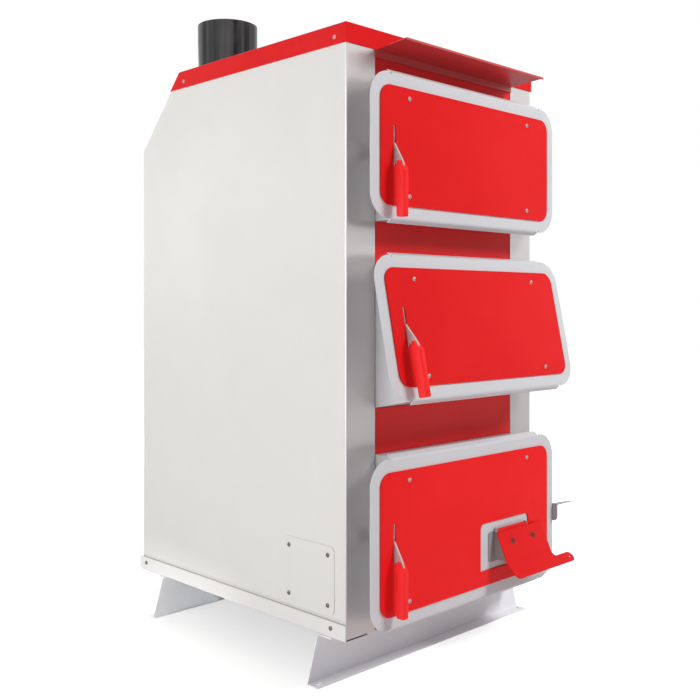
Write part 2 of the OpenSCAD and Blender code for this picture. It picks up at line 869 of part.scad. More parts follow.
// Ears and catch pin that are welded to the throat's sides
module throat_fittings(h) {
  difference() {
    for (sz = [-1, 1]) for (e = [-1, 1])
      translate([throat_w / 2, hinge_depth - barrel_r, sz * h * hinge_share
                 + e * (barrel_l / 2 + ear_gap + ear_t / 2) - ear_t / 2])
        cube([hinge_x + barrel_r - throat_w / 2, 2 * barrel_r, ear_t]);
    translate([hinge_x, hinge_depth, -h / 2]) cylinder(h = h, r = hinge_pin_r + pin_clear / 3);
  }
  translate([-lever_x - lever_t / 2 - catch_over, catch_depth, catch_z]) rotate([0, 90, 0])
    cylinder(h = lever_x + lever_t / 2 + catch_over - throat_w / 2 + throat_t / 2, r = catch_r);
}

// Keeps what lies ahead of the firebox's inner face
module ahead() {
  block([-casing_w, -casing_d, 0], [casing_w, box_front + plate_t, casing_h]);
}

module upper_throat() {
  color(steel) stand() {
    difference() {
      intersection() {
        upper_place() throat_block(door_h, 0);
        ahead();
      }
      upper_place() throat_bore(door_h);
    }
    upper_place() throat_fittings(door_h);
  }
}

module loading_throat() {
  color(grey) stand() {
    difference() {
      intersection() {
        loading_place() throat_block(door_h, 0);
        ahead();
      }
      loading_place() throat_bore(door_h);
    }
    loading_place() throat_fittings(door_h);
  }
}

module ash_throat() {
  color(steel) stand() {
    difference() {
      intersection() {
        ash_place() throat_block(ash_door_h, 0);
        ahead();
      }
      ash_place() throat_bore(ash_door_h);
    }
    ash_place() throat_fittings(ash_door_h);
  }
}

pin_head_h = 3;

module door_pins(h) {
  reach = barrel_l / 2 + ear_gap + ear_t;
  for (sz = [-1, 1])
    translate([hinge_x, hinge_depth, sz * h * hinge_share]) {
      translate([0, 0, -reach - pin_head_h]) cylinder(h = 2 * reach + pin_head_h, r = hinge_pin_r);
      translate([0, 0, reach]) cylinder(h = pin_head_h, r = barrel_r);
    }
}

module hinge_pins() {
  color(steel) stand() {
    upper_place() door_pins(door_h);
    loading_place() door_pins(door_h);
    ash_place() door_pins(ash_door_h);
  }
}

// Flue and sockets

flue_box_top = flue_box_z + flue_box_h;
// Section of the flue box, whose front follows the sloping rear of the casing
flue_outline = [
  [casing_d, flue_box_z], [flue_y + flue_half, flue_box_z], [flue_y + flue_half, flue_box_top],
  [casing_d - (flue_box_top - slope_z) * slope_run / slope_drop, flue_box_top],
  [casing_d, slope_z]
];

module flue_box() {
  color(dark) stand() difference() {
    union() {
      across(-flue_half, flue_half) polygon(flue_outline);
      block([-flue_half, box_back - plate_t, duct_z - flue_t],
            [flue_half, casing_d + over, duct_z + duct_h + flue_t]);
    }
    across(-duct_half, duct_half) polygon(inset(flue_outline, flue_t));
    block([-duct_half, box_back - plate_t - over, duct_z], [duct_half, flue_y, duct_z + duct_h]);
    translate([0, flue_y, flue_box_top - 2 * flue_t]) cylinder(h = 3 * flue_t, r = flue_r - flue_t);
  }
}

module flue_pipe() {
  length = flue_top - flue_box_top;
  color(dark) stand() translate([0, flue_y, flue_box_top]) difference() {
    union() {
      cylinder(h = length, r = flue_r, $fn = 128);
      translate([0, 0, length - spigot_l - stop_h])
        cylinder(h = stop_h, r = flue_r + stop_out, $fn = 128);
    }
    translate([0, 0, -over]) cylinder(h = length + 2 * over, r = flue_r - flue_t, $fn = 128);
  }
}

// Socket that is welded into the vessel's rear plate
module socket(r, bore) {
  length = socket_out + vessel_rear_gap + plate_t;
  translate([0, casing_d + socket_out, 0]) rotate([90, 0, 0]) difference() {
    cylinder(h = length, r = r);
    translate([0, 0, -over]) cylinder(h = length + 2 * over, r = bore);
  }
}

module supply_socket() {
  color(steel) stand() translate([socket_x, 0, supply_z]) socket(socket_r, socket_bore);
}

module return_socket() {
  color(steel) stand() translate([-socket_x, 0, return_z]) socket(socket_r, socket_bore);
}

module drain_socket() {
  color(steel) stand() translate([socket_x, 0, drain_z]) socket(drain_r, drain_bore);
}

// Insulation

wool_lift = 16;

module side_wool(places) {
  difference() {
    across(-half_w + sheet_t + seat_gap, -vessel_half) polygon(vessel_outline);
    block([-casing_w, -over, 0], [casing_w, casing_d, wool_lift + skirt_t]);
    side_holes(places);
  }
}

module left_insulation() {
  color(mineral) stand() side_wool(concat(side_screws, plate_screws));
}

module right_insulation() {
  color(mineral) stand() mirror([1, 0, 0]) side_wool(side_screws);
}

module top_insulation() {
  color(mineral) stand() block(
    [-vessel_half, vessel_front_gap, vessel_top],
    [vessel_half, min(vessel_back - vessel_chamfer, slope_y) - wool_lift, casing_h - seat_gap]);
}

// Door pieces, in the frame of their door: face at depth 0, centre at the origin

fold_angle = atan2(fold_depth, fold_flare);
fold_tan = fold_r * tan(fold_angle / 2);
relief_w = 3;
bend_steps = 6;

// Folded edge seen from the side, from the face to its tip
module fold_outline(h) {
  start = h / 2 - fold_tan;
  centre = [fold_r, start];
  tip = [fold_depth, h / 2 + fold_flare];
  back = pan_t * [cos(fold_angle), -sin(fold_angle)];
  polygon(concat(
    [[0, start - pan_t]],
    arc(centre, fold_r, 180, 180 - fold_angle, bend_steps),
    [tip, tip + back],
    arc(centre, fold_r - pan_t, 180 - fold_angle, 180, bend_steps),
    [[pan_t, start - pan_t]]
  ));
}

cheek_t = 4;
cheek_gap = 2;
cheek_r = 12;

// Overlap of the rope seal past the outside of the throat's rim
seal_lap = 1;
seal_seat = rim_depth - seat_gap - seal_t;

// Ring along the throat's rim, from inner inside the rim's outline to outer past it
module rim_ring(h, y0, y1, inner, outer) {
  half = throat_w / 2;
  high = h / 2 - throat_in;
  difference() {
    block([-half - outer, y0, -high - outer], [half + outer, y1, high + outer]);
    block([-half + inner, y0 - over, -high + inner], [half - inner, y1 + over, high - inner]);
  }
}

module hinge_barrels(h) {
  for (s = [-1, 1]) translate([hinge_x, 0, s * h * hinge_share - barrel_l / 2]) {
    translate([0, hinge_depth, 0]) cylinder(h = barrel_l, r = barrel_r);
    block([-barrel_r, pan_t / 2, 0], [barrel_r, hinge_depth, barrel_l]);
  }
}

// Cheeks that carry the lever's pin
module lever_cheeks() {
  depth = pivot_depth + pivot_r + cheek_gap;
  for (s = [-1, 1]) translate([-lever_x + s * (lever_t / 2 + cheek_gap + cheek_t / 2), 0, 0])
    block([-cheek_t / 2, pan_t / 2, -cheek_r], [cheek_t / 2, depth, cheek_r]);
}

module folded_sheet(h) {
  difference() {
    facing(0, pan_t) rounded(door_w, h, pan_r);
    for (s = [0, 1]) mirror([0, 0, s])
      block([-fold_w / 2 - relief_w, -over, h / 2 - fold_tan],
            [fold_w / 2 + relief_w, pan_t + over, h / 2 + over]);
  }
  for (s = [0, 1]) mirror([0, 0, s]) across(-fold_w / 2, fold_w / 2) fold_outline(h);
}

module door_pan(h) {
  seal_in = seal_w - seal_lap;
  difference() {
    union() {
      folded_sheet(h);
      rim_ring(h, pan_t, seal_seat, seal_in, seal_lap);
      rim_ring(h, pan_t, seal_seat + lip_t, seal_in + lip_t, -seal_in);
      hinge_barrels(h);
      lever_cheeks();
    }
    translate([hinge_x, hinge_depth, -h / 2]) cylinder(h = h, r = hinge_pin_r + pin_clear);
    slit();
    screw_holes(h);
  }
  translate([-lever_x - lever_t / 2 - cheek_gap - cheek_t / 2, pivot_depth, 0]) rotate([0, 90, 0])
    cylinder(h = lever_t + 2 * cheek_gap + cheek_t, r = pivot_r);
}

// Slit that the lever comes out of
module slit() {
  block([-lever_x - slit_w / 2, -panel_t - over, -slit_half],
        [-lever_x + slit_w / 2, pan_t + over, slit_half]);
}

module screw_places(h) {
  for (sx = [-1, 1]) for (sz = [-1, 1])
    translate([sx * panel_screw_x, -panel_t, sz * (h / 2 - frame_w - panel_screw_z)])
      rotate([90, 0, 0]) children();
}

module screw_holes(h) {
  screw_places(h) translate([0, 0, -panel_t - pan_t - over])
    cylinder(h = panel_t + pan_t + 2 * over, r = screw_r + hole_clear);
}

module door_screws(h) {
  screw_places(h) screw(panel_t + pan_t);
}

module door_panel(h) {
  difference() {
    facing(-panel_t, 0) rounded(panel_w, h - 2 * frame_w, panel_r);
    slit();
    screw_holes(h);
  }
}

module door_lining(h) {
  half = throat_w / 2 - throat_t - lining_gap;
  high = h / 2 - throat_in - throat_t - lining_gap;
  block([-half, pan_t, -high], [half, lining_depth, high]);
}

module door_seal(h) {
  rim_ring(h, seal_seat, seal_seat + seal_t, seal_w - seal_lap, seal_lap);
}

// Lever plate: boss on the pivot, arm out through the slit, tang in the grip, tail with a tooth
tail_t = 6;
tooth_d = 6;
arm_top = 8;
arm_exit = 5;
arm_low = 34;
tang_w = 9;
tang_share = 0.8;
tooth_in = 3;

module lever_outline() {
  tooth_top = catch_z - catch_r - tooth_gap;
  tooth_front = catch_depth + tooth_in;
  tang_front = grip_back_y - grip_d / 2 - tang_w / 2;
  tang_back = tang_front + tang_w;
  tang_low = grip_top - grip_l * tang_share;
  polygon([
    [pivot_depth, arm_top], [-panel_t, arm_exit], [tang_back - tang_w / 2, grip_top + arm_exit / 2],
    [tang_front, grip_top - tang_w], [tang_front, tang_low], [tang_back, tang_low],
    [tang_back, grip_top - arm_exit], [-panel_t, -arm_low], [pan_t, -arm_low],
    [pivot_depth, -arm_top]
  ]);
  polygon([
    [pivot_depth, tooth_top - tail_t - arm_exit], [tooth_front + tooth_d, tooth_top - tail_t - tooth_in],
    [tooth_front + tooth_d, tooth_top], [tooth_front, tooth_top],
    [tooth_front - tooth_in, tooth_top - tooth_in], [pivot_depth, tooth_top - tooth_in]
  ]);
}

module door_lever() {
  translate([-lever_x, 0, 0]) difference() {
    union() {
      across(-lever_t / 2, lever_t / 2) lever_outline();
      translate([-lever_t / 2, pivot_depth, 0]) rotate([0, 90, 0]) cylinder(h = lever_t, r = boss_r);
    }
    translate([-lever_t, pivot_depth, 0]) rotate([0, 90, 0])
      cylinder(h = 2 * lever_t, r = pivot_r + pin_clear);
  }
}

module grip_side() {
  polygon([
    [grip_back_y - grip_edge, grip_top], [grip_back_y - grip_d * (1 - grip_shoulder_share), grip_top],
    [grip_front_y, grip_top - grip_l * grip_slope_share],
    [grip_front_y, grip_low + grip_edge], [grip_front_y + grip_edge, grip_low],
    [grip_back_y - grip_edge, grip_low], [grip_back_y, grip_low + grip_edge],
    [grip_back_y, grip_top - grip_edge]
  ]);
}

module door_grip() {
  cut = grip_edge * sqrt(2);
  translate([-lever_x, 0, 0]) difference() {
    across(-grip_w / 2, grip_w / 2) grip_side();
    for (sx = [-1, 1]) for (y = [grip_back_y, grip_front_y])
      translate([sx * grip_w / 2, y, grip_low - over]) rotate([0, 0, 45])
        translate([-cut / 2, -cut / 2, 0]) cube([cut, cut, grip_l + 2 * over]);
    across(-lever_t / 2, lever_t / 2) lever_outline();
  }
}

// Upper door

module upper_pan() { color(white) stand() upper_place() door_pan(door_h); }
module upper_panel() { color(red) stand() upper_place() door_panel(door_h); }
module upper_lining() { color(mineral) stand() upper_place() door_lining(door_h); }
module upper_seal() { color(dark) stand() upper_place() door_seal(door_h); }
module upper_screws() { color(steel) stand() upper_place() door_screws(door_h); }
module upper_lever() { color(grey) stand() upper_place() door_lever(); }
module upper_grip() { color(red) stand() upper_place() door_grip(); }

// Loading door

module loading_pan() { color(white) stand() loading_place() door_pan(door_h); }
module loading_panel() { color(red) stand() loading_place() door_panel(door_h); }
module loading_lining() { color(mineral) stand() loading_place() door_lining(door_h); }
module loading_seal() { color(dark) stand() loading_place() door_seal(door_h); }
module loading_screws() { color(steel) stand() loading_place() door_screws(door_h); }
module loading_lever() { color(grey) stand() loading_place() door_lever(); }
module loading_grip() { color(red) stand() loading_place() door_grip(); }

// Ash door, with its air inlet

flap_x = door_w / 2 - flap_in - flap_w;
cutout_x = flap_x - cutout_over;
collar_x = flap_x + roll_r;
collar_top = -flap_drop - roll_r;
hinge_out = panel_t + roll_r;
collar_low = collar_top - collar_h;
// Depth of the closed flap's back at a given height
function flap_back(z) = -hinge_out + (z + flap_drop) * tan(flap_tilt) + flap_t / 2 / cos(flap_tilt);

module air_hole() {
  block([collar_x + collar_t, -panel_t - over, collar_low + collar_t],
        [collar_x + collar_w - collar_t, lining_depth + over, collar_top - collar_t]);
}

module ash_door_pan() {
  color(white) stand() ash_place() difference() {
    door_pan(ash_door_h);
    air_hole();
  }
}

module ash_door_panel() {
  color(red) stand() ash_place() difference() {
    door_panel(ash_door_h);
    translate([cutout_x + cutout_w / 2, 0, -cutout_drop - cutout_h / 2])
      facing(-panel_t - over, over) union() {
        rounded(cutout_w, cutout_h, cutout_r);
        translate([-cutout_w / 2, -cutout_h / 2]) square([cutout_w, cutout_r]);
      }
  }
}

module ash_door_lining() {
  color(mineral) stand() ash_place() difference() {
    door_lining(ash_door_h);
    air_hole();
  }
}

module ash_door_seal() { color(dark) stand() ash_place() door_seal(ash_door_h); }
module ash_door_screws() { color(steel) stand() ash_place() door_screws(ash_door_h); }
module ash_door_lever() { color(grey) stand() ash_place() door_lever(); }
module ash_door_grip() { color(red) stand() ash_place() door_grip(); }

flange_side = 6;
flange_left = 22;
flange_low = 3;
ear_x_gap = 0.3;
rod_ear_t = 2;

module air_collar() {
  left = collar_x;
  right = collar_x + collar_w;
  gap = seat_gap / cos(flap_tilt);
  color(grey) stand() ash_place() difference() {
    union() {
      // Mounting flange on the pan
      facing(-collar_t, 0) translate([(left - flange_left + right + flange_side) / 2,
                                      (collar_low - flange_low + collar_top + flange_low) / 2])
        rounded(right - left + flange_left + flange_side, collar_h + 2 * flange_low, flange_side);
      // Slanted duct
      across(left, right) polygon([
        [0, collar_low], [0, collar_top],
        [flap_back(collar_top) + gap, collar_top], [flap_back(collar_low) + gap, collar_low]
      ]);
      // Ears that carry the hinge rod
      for (x = [left - rod_ear_t - ear_x_gap, right + ear_x_gap]) translate([x, 0, -flap_drop]) {
        block([0, -hinge_out, -rod_r - collar_t], [rod_ear_t, 0, rod_r + collar_t]);
        translate([0, -hinge_out, 0]) rotate([0, 90, 0]) cylinder(h = rod_ear_t, r = rod_r + collar_t);
      }
    }
    block([left + collar_t, -casing_d, collar_low + collar_t],
          [right - collar_t, over, collar_top - collar_t]);
    translate([left - casing_w, -hinge_out, -flap_drop]) rotate([0, 90, 0])
      cylinder(h = 2 * casing_w, r = rod_r + pin_clear / 3);
  }
}

rod_over = 2;

module flap_rod() {
  left = collar_x - rod_ear_t - ear_x_gap - rod_over;
  right = collar_x + collar_w + rod_ear_t + ear_x_gap + rod_over;
  color(steel) stand() ash_place() translate([left, -hinge_out, -flap_drop]) rotate([0, 90, 0])
    cylinder(h = right - left, r = rod_r);
}

// Moves into the closed flap's plane: up the flap is +Z from its hinge
module flap_plane() {
  translate([0, -hinge_out, -flap_drop]) rotate([-flap_tilt, 0, 0]) children();
}

lip_corner_r = 9;
tab_fillet = 5;
fillet_steps = 6;
knuckle_gap = 0.6;
lip_turn = lip_tilt - flap_tilt;

// Section of the bent flap in the closed flap's plane, as depth and height from its hinge
module flap_section() {
  top = [0, -roll_r - knuckle_gap];
  bend = [0, -flap_l];
  low = bend - flap_lip * [sin(lip_turn), cos(lip_turn)];
  half = flap_t / 2;
  polygon([
    top + half * inward(top, bend), moved(top, bend, low, half), low + half * inward(bend, low),
    low - half * inward(bend, low), moved(top, bend, low, -half), top - half * inward(top, bend)
  ]);
}

// Moves into the plane of the flap's lip: up the lip is +Z from its bend
module lip_plane() {
  flap_plane() translate([0, 0, -flap_l]) rotate([-lip_turn, 0, 0]) children();
}

// Tab that reaches right from the lip for the chain, with a fillet at its root
module tab_outline() {
  root = flap_x + flap_w;
  end = root + tab_reach - tab_w / 2;
  top = -flap_lip + tab_w;
  polygon(concat(
    [[root - over, -flap_lip], [end, -flap_lip], [end, top]],
    arc([root + tab_fillet, top + tab_fillet], tab_fillet, 270, 180, fillet_steps),
    [[root - over, top + tab_fillet]]
  ));
  translate([end, -flap_lip + tab_w / 2]) circle(tab_w / 2);
}

module lip_corner() {
  r = lip_corner_r;
  difference() {
    translate([flap_x - over, -flap_lip - over]) square([r + over, r + over]);
    translate([flap_x + r, -flap_lip + r]) circle(r);
  }
}

module air_flap() {
  color(red) stand() ash_place() difference() {
    union() {
      flap_plane() {
        across(flap_x, flap_x + flap_w) flap_section();
        // Rolled hinge between the collar's ears, with plate up to it
        translate([collar_x + knuckle_gap, 0, 0]) rotate([0, 90, 0])
          cylinder(h = collar_w - 2 * knuckle_gap, r = roll_r);
        block([collar_x + knuckle_gap, -flap_t / 2, -roll_r - over - knuckle_gap],
              [collar_x + collar_w - knuckle_gap, flap_t / 2, 0]);
      }
      lip_plane() facing(-flap_t / 2, flap_t / 2) tab_outline();
    }
    lip_plane() facing(-flap_t, flap_t) lip_corner();
    flap_plane() {
      translate([collar_x - over, 0, 0]) rotate([0, 90, 0])
        cylinder(h = collar_w + 2 * over, r = rod_r + pin_clear);
      for (x = flap_bolt_xs) translate([x, -flap_t, -flap_bolt_drop]) rotate([-90, 0, 0])
        cylinder(h = 2 * flap_t, r = screw_r + hole_clear);
    }
    lip_plane() translate([flap_x + flap_w + tab_reach - tab_w / 2, -flap_t, -flap_lip + tab_w / 2])
      rotate([-90, 0, 0]) cylinder(h = 2 * flap_t, r = chain_r);
  }
}

flap_bolt_drop = 28;
flap_bolt_pitch = 73;
flap_bolt_xs = [for (s = [-1, 1]) flap_x + flap_w / 2 + s * flap_bolt_pitch / 2];
flap_nut_r = 3.5;
flap_nut_h = 1.4;

module flap_bolts() {
  color(dark) stand() ash_place() flap_plane()
    for (x = flap_bolt_xs) translate([x, 0, -flap_bolt_drop]) rotate([90, 0, 0]) {
      translate([0, 0, flap_t / 2]) screw(flap_t + flap_nut_h);
      translate([0, 0, -flap_t / 2 - flap_nut_h]) cylinder(h = flap_nut_h, r = flap_nut_r, $fn = 6);
    }
}

bracket_front_gap = 2;
bracket_tip = 4;

module chain_bracket() {
  root = door_w / 2;
  back = pan_t;
  front = back - bracket_root;
  color(grey) stand() ash_place() {
    across(root, root + bracket_t) polygon(concat(
      [[back, bracket_z - bracket_leg], [back, bracket_z], [front, bracket_z]],
      arc([front + bracket_r, bracket_z - bracket_leg + bracket_r], bracket_r, 180, 270, bend_steps)
    ));
    translate([0, 0, bracket_z - bracket_t]) linear_extrude(bracket_t) polygon([
      [root, back], [root, front], [root + bracket_t + bracket_reach, front - bracket_front_gap],
      [root + bracket_t + bracket_reach, front - bracket_front_gap + bracket_tip]
    ]);
  }
}

left_side_panel();
right_side_panel();
front_panel();
rear_panel();
top_cover();
visor();
left_skirt();
right_skirt();
casing_screws();
side_cover_plate();
front_foot();
rear_foot();
foot_bolts();
vessel_shell();
firebox_shell();
lower_water_shelf();
upper_water_shelf();
grate();
ash_pan();
upper_throat();
loading_throat();
ash_throat();
hinge_pins();
flue_box();
flue_pipe();
supply_socket();
return_socket();
drain_socket();
left_insulation();
right_insulation();
top_insulation();
upper_pan();
upper_panel();
upper_lining();
upper_seal();
upper_screws();
upper_lever();
upper_grip();
loading_pan();
loading_panel();
loading_lining();
loading_seal();
loading_screws();
loading_lever();
loading_grip();
ash_door_pan();
ash_door_panel();
ash_door_lining();
ash_door_seal();
ash_door_screws();
ash_door_lever();
ash_door_grip();
air_collar();
flap_rod();
air_flap();
flap_bolts();
chain_bracket();
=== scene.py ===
import json
import math

import bmesh
import bpy
from mathutils import Matrix, Quaternion, Vector


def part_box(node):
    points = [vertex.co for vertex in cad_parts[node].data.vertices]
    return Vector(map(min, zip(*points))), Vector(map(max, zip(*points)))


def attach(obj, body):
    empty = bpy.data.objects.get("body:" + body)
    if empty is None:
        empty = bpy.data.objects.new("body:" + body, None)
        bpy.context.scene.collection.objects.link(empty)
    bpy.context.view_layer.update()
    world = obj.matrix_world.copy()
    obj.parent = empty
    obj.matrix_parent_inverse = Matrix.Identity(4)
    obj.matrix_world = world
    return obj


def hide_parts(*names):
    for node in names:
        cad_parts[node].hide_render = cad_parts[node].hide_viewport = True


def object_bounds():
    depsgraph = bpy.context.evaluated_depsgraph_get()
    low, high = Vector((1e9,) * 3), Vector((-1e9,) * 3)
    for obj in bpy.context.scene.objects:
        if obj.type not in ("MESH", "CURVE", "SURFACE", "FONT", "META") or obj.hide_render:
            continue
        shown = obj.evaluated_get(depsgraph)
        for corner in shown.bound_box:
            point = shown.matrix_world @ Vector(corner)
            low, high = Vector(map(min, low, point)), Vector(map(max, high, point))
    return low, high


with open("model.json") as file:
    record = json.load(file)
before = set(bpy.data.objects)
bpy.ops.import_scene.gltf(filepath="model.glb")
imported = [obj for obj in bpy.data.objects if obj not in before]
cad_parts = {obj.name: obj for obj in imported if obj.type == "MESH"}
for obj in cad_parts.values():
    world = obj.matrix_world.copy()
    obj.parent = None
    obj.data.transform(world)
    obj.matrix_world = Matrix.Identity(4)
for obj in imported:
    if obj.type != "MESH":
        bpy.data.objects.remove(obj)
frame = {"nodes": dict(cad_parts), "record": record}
cad_low, cad_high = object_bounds()

MM = 0.001
UP = Vector((0.0, 0.0, 1.0))
FRONT = Vector((0.0, -1.0, 0.0))
REAR = Vector((0.0, 1.0, 0.0))


# Camera, fitted to the casing's edges in the photograph

PHOTO_SIZE = 700
HORIZON_ROW = 305.03
FOCAL_PIXELS = 942.5
SENSOR_WIDTH = 36.0
CAMERA_YAW = math.radians(44.47)
CAMERA_FROM_CASING = Vector((-1.5434, -1.2770, 0.7279))


def casing_front():
    """The middle of the casing's front at floor level, which the camera was measured from."""
    low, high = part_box("front_panel")
    strip_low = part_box("left_side_panel")[0]
    return Vector(((low.x + high.x) / 2, strip_low.y, 0.0))


def make_camera():
    data = bpy.data.cameras.new("photo_camera")
    data.sensor_width = SENSOR_WIDTH
    data.lens = FOCAL_PIXELS / PHOTO_SIZE * SENSOR_WIDTH
    data.shift_y = (HORIZON_ROW - PHOTO_SIZE / 2) / PHOTO_SIZE
    camera = bpy.data.objects.new("photo_camera", data)
    camera.location = casing_front() + CAMERA_FROM_CASING
    camera.rotation_euler = (math.pi / 2, 0.0, -CAMERA_YAW)
    bpy.context.scene.collection.objects.link(camera)
    bpy.context.scene.camera = camera
    bpy.context.scene.view_settings.view_transform = "Standard"


# Colours as the photograph shows them, written as sRGB bytes

WHITE = (1.0, 1.0, 1.0, 1.0)


def paint(red, green, blue):
    """An sRGB colour in bytes as the linear colour that a socket takes."""
    def channel(byte):
        value = byte / 255
        return value / 12.92 if value <= 0.04045 else ((value + 0.055) / 1.055) ** 2.4
    return (channel(red), channel(green), channel(blue), 1.0)


class Nodes:
    """A node tree with short ways to add and join nodes."""

    def __init__(self, tree):
        self.tree = tree

    def add(self, kind, **settings):
        node = self.tree.nodes.new(kind)
        for key, value in settings.items():
            setattr(node, key, value)
        return node

    def join(self, source, target):
        self.tree.links.new(source, target)

    def feed(self, socket, value):
        """Sets a socket to a plain value, or joins an output to it."""
        if isinstance(value, (int, float, tuple)):
            socket.default_value = value
        else:
            self.join(value, socket)

    def texture(self, kind, vector, **values):
        node = self.add(kind)
        self.join(vector, node.inputs["Vector"])
        for key, value in values.items():
            node.inputs[key.replace("_", " ")].default_value = value
        return node

    def ramp(self, factor, low, high, start, end):
        """Maps a factor from the range low to high onto start to end, clamped."""
        node = self.add("ShaderNodeMapRange")
        limits = {"From Min": low, "From Max": high, "To Min": start, "To Max": end}
        for key, value in limits.items():
            node.inputs[key].default_value = value
        self.join(factor, node.inputs["Value"])
        return node.outputs["Result"]

    def math(self, operation, first, second):
        node = self.add("ShaderNodeMath", operation=operation)
        self.feed(node.inputs[0], first)
        self.feed(node.inputs[1], second)
        return node.outputs[0]

    def mix(self, factor, first, second):
        """Mixes two colours. Sockets 0, 6 and 7 are the factor and the colours A and B."""
        node = self.add("ShaderNodeMix", data_type="RGBA")
        self.feed(node.inputs[0], factor)
        self.feed(node.inputs[6], first)
        self.feed(node.inputs[7], second)
        return node.outputs[2]


# Shared effects, as node groups

FLOAT = "NodeSocketFloat"
VECTOR = "NodeSocketVector"
PEEL_SCALE = 420.0
CRYSTAL_SCALE = 140.0


def make_group(name, inputs, outputs):
    """An empty shader node group with named sockets, and its tree helper and end nodes."""
    tree = bpy.data.node_groups.new(name, "ShaderNodeTree")
    for socket, kind, value in inputs:
        made = tree.interface.new_socket(socket, in_out="INPUT", socket_type=kind)
        if value is not None:
            made.default_value = value
    for socket in outputs:
        tree.interface.new_socket(socket, in_out="OUTPUT", socket_type=FLOAT)
    nodes = Nodes(tree)
    return tree, nodes, nodes.add("NodeGroupInput"), nodes.add("NodeGroupOutput")


def coat_group():
    """Orange peel relief of a powder coat, and cloudy marks and specks left by hands and wiping."""
    tree, n, start, end = make_group(
        "coat_surface",
        [("Vector", VECTOR, None), ("Peel Scale", FLOAT, PEEL_SCALE), ("Mark Scale", FLOAT, 5.0)],
        ["Height", "Marks", "Specks"],
    )
    place = start.outputs["Vector"]
    peel = n.texture("ShaderNodeTexNoise", place, Detail=2.0, Roughness=0.4)
    n.join(start.outputs["Peel Scale"], peel.inputs["Scale"])
    marks = n.texture("ShaderNodeTexNoise", place, Detail=5.0, Roughness=0.62, Distortion=0.6)
    n.join(start.outputs["Mark Scale"], marks.inputs["Scale"])
    specks = n.texture("ShaderNodeTexVoronoi", place, Scale=260.0)
    n.join(peel.outputs["Fac"], end.inputs["Height"])
    n.join(n.ramp(marks.outputs["Fac"], 0.35, 0.72, 0.0, 1.0), end.inputs["Marks"])
    n.join(n.ramp(specks.outputs["Distance"], 0.02, 0.1, 1.0, 0.0), end.inputs["Specks"])
    return tree


def zinc_group():
    """Spangle of galvanised sheet: flat crystals of slightly different brightness."""
    tree, n, start, end = make_group(
        "zinc_spangle",
        [("Vector", VECTOR, None), ("Crystal Scale", FLOAT, CRYSTAL_SCALE)],
        ["Spangle", "Height"],
    )
    place = start.outputs["Vector"]
    warp = n.texture("ShaderNodeTexNoise", place, Scale=90.0, Detail=3.0)
    bent = n.add("ShaderNodeMix", data_type="VECTOR")
    bent.inputs[0].default_value = 0.004
    n.join(place, bent.inputs[4])
    n.join(warp.outputs["Color"], bent.inputs[5])
    cells = n.texture("ShaderNodeTexVoronoi", bent.outputs[1])
    n.join(start.outputs["Crystal Scale"], cells.inputs["Scale"])
    tone = n.add("ShaderNodeSeparateColor")
    n.join(cells.outputs["Color"], tone.inputs["Color"])
    n.join(tone.outputs["Red"], end.inputs["Spangle"])
    grain = n.texture("ShaderNodeTexNoise", place, Scale=700.0, Detail=3.0)
    n.join(grain.outputs["Fac"], end.inputs["Height"])
    return tree


COAT = coat_group()
ZINC = zinc_group()


# Materials

def new_material(name):
    material = bpy.data.materials.new(name)
    material.use_nodes = True
    nodes = Nodes(material.node_tree)
    shader = material.node_tree.nodes["Principled BSDF"]
    place = nodes.add("ShaderNodeTexCoord").outputs["Object"]
    return material, nodes, shader, place


def use_group(nodes, tree, place, **values):
    node = nodes.add("ShaderNodeGroup")
    node.node_tree = tree
    nodes.join(place, node.inputs["Vector"])
    for key, value in values.items():
        node.inputs[key.replace("_", " ")].default_value = value
    return node


def split_place(nodes, place):
    """The separate coordinates of a place."""
    node = nodes.add("ShaderNodeSeparateXYZ")
    nodes.join(place, node.inputs["Vector"])
    return node.outputs


def add_bump(nodes, shader, height, strength, relief):
    bump = nodes.add("ShaderNodeBump")
    bump.inputs["Strength"].default_value = strength
    bump.inputs["Distance"].default_value = relief
    nodes.join(height, bump.inputs["Height"])
    nodes.join(bump.outputs["Normal"], shader.inputs["Normal"])


# The white strips on the casing's front face, which mirror the studio and carry painted shade,
# and painted shade just above the ledge where the sides meet the skirts
STRIP_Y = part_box("left_side_panel")[0].y + 1 * MM
STRIP_BLEND = 3 * MM
STRIP_METALLIC = 0.65
LEDGE_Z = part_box("left_skirt")[1].z
LEDGE_SHADE = paint(120, 118, 114)
# Where each band of painted shade starts and ends above the ledge, and its amount
LEDGE_SHADE_BANDS = ((0.0, 9 * MM, 0.3), (0.5 * MM, 2 * MM, 0.7))

# Screws above this height get a painted reflection of the cover's red
UPPER_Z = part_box("front_panel")[1].z - 100 * MM
UPPER_BLEND = 3 * MM


def ledge_and_strip_shade(n, shader, place, tint, strip_shade):
    """Paints shade just above the ledge over the skirts, and gives the casing's front face a darker
    colour of painted shade with a metallic sheen.
    """
    parts = split_place(n, place)
    # Painted shade on the sides just above the ledge, a soft band and a thin dark line
    for start, end, amount in LEDGE_SHADE_BANDS:
        shaded = n.ramp(parts["Z"], LEDGE_Z + start, LEDGE_Z + end, amount, 0.0)
        tint = n.mix(shaded, tint, LEDGE_SHADE)
    # The front face: a darker colour of painted shade, and metallic so that it mirrors the studio
    on_strip = n.ramp(parts["Y"], STRIP_Y, STRIP_Y + STRIP_BLEND, 1.0, 0.0)
    n.join(n.math("MULTIPLY", on_strip, STRIP_METALLIC), shader.inputs["Metallic"])
    return n.mix(on_strip, tint, strip_shade)


# Shares of the worn tone in the marks and specks of a coat, how far each finish's roughness runs
# over its surface, and how deep its relief is
MARK_SHARE = 0.5
SPECK_SHARE = 0.06
COAT_ROUGHNESS_RUN = 0.08
ZINC_ROUGHNESS_RUN = 0.14
ROUGH_RUN = 0.1
COAT_RELIEF = 0.4 * MM
METAL_RELIEF = 0.3 * MM
GRIP_RELIEF = 0.2 * MM
ROPE_RELIEF = 1 * MM


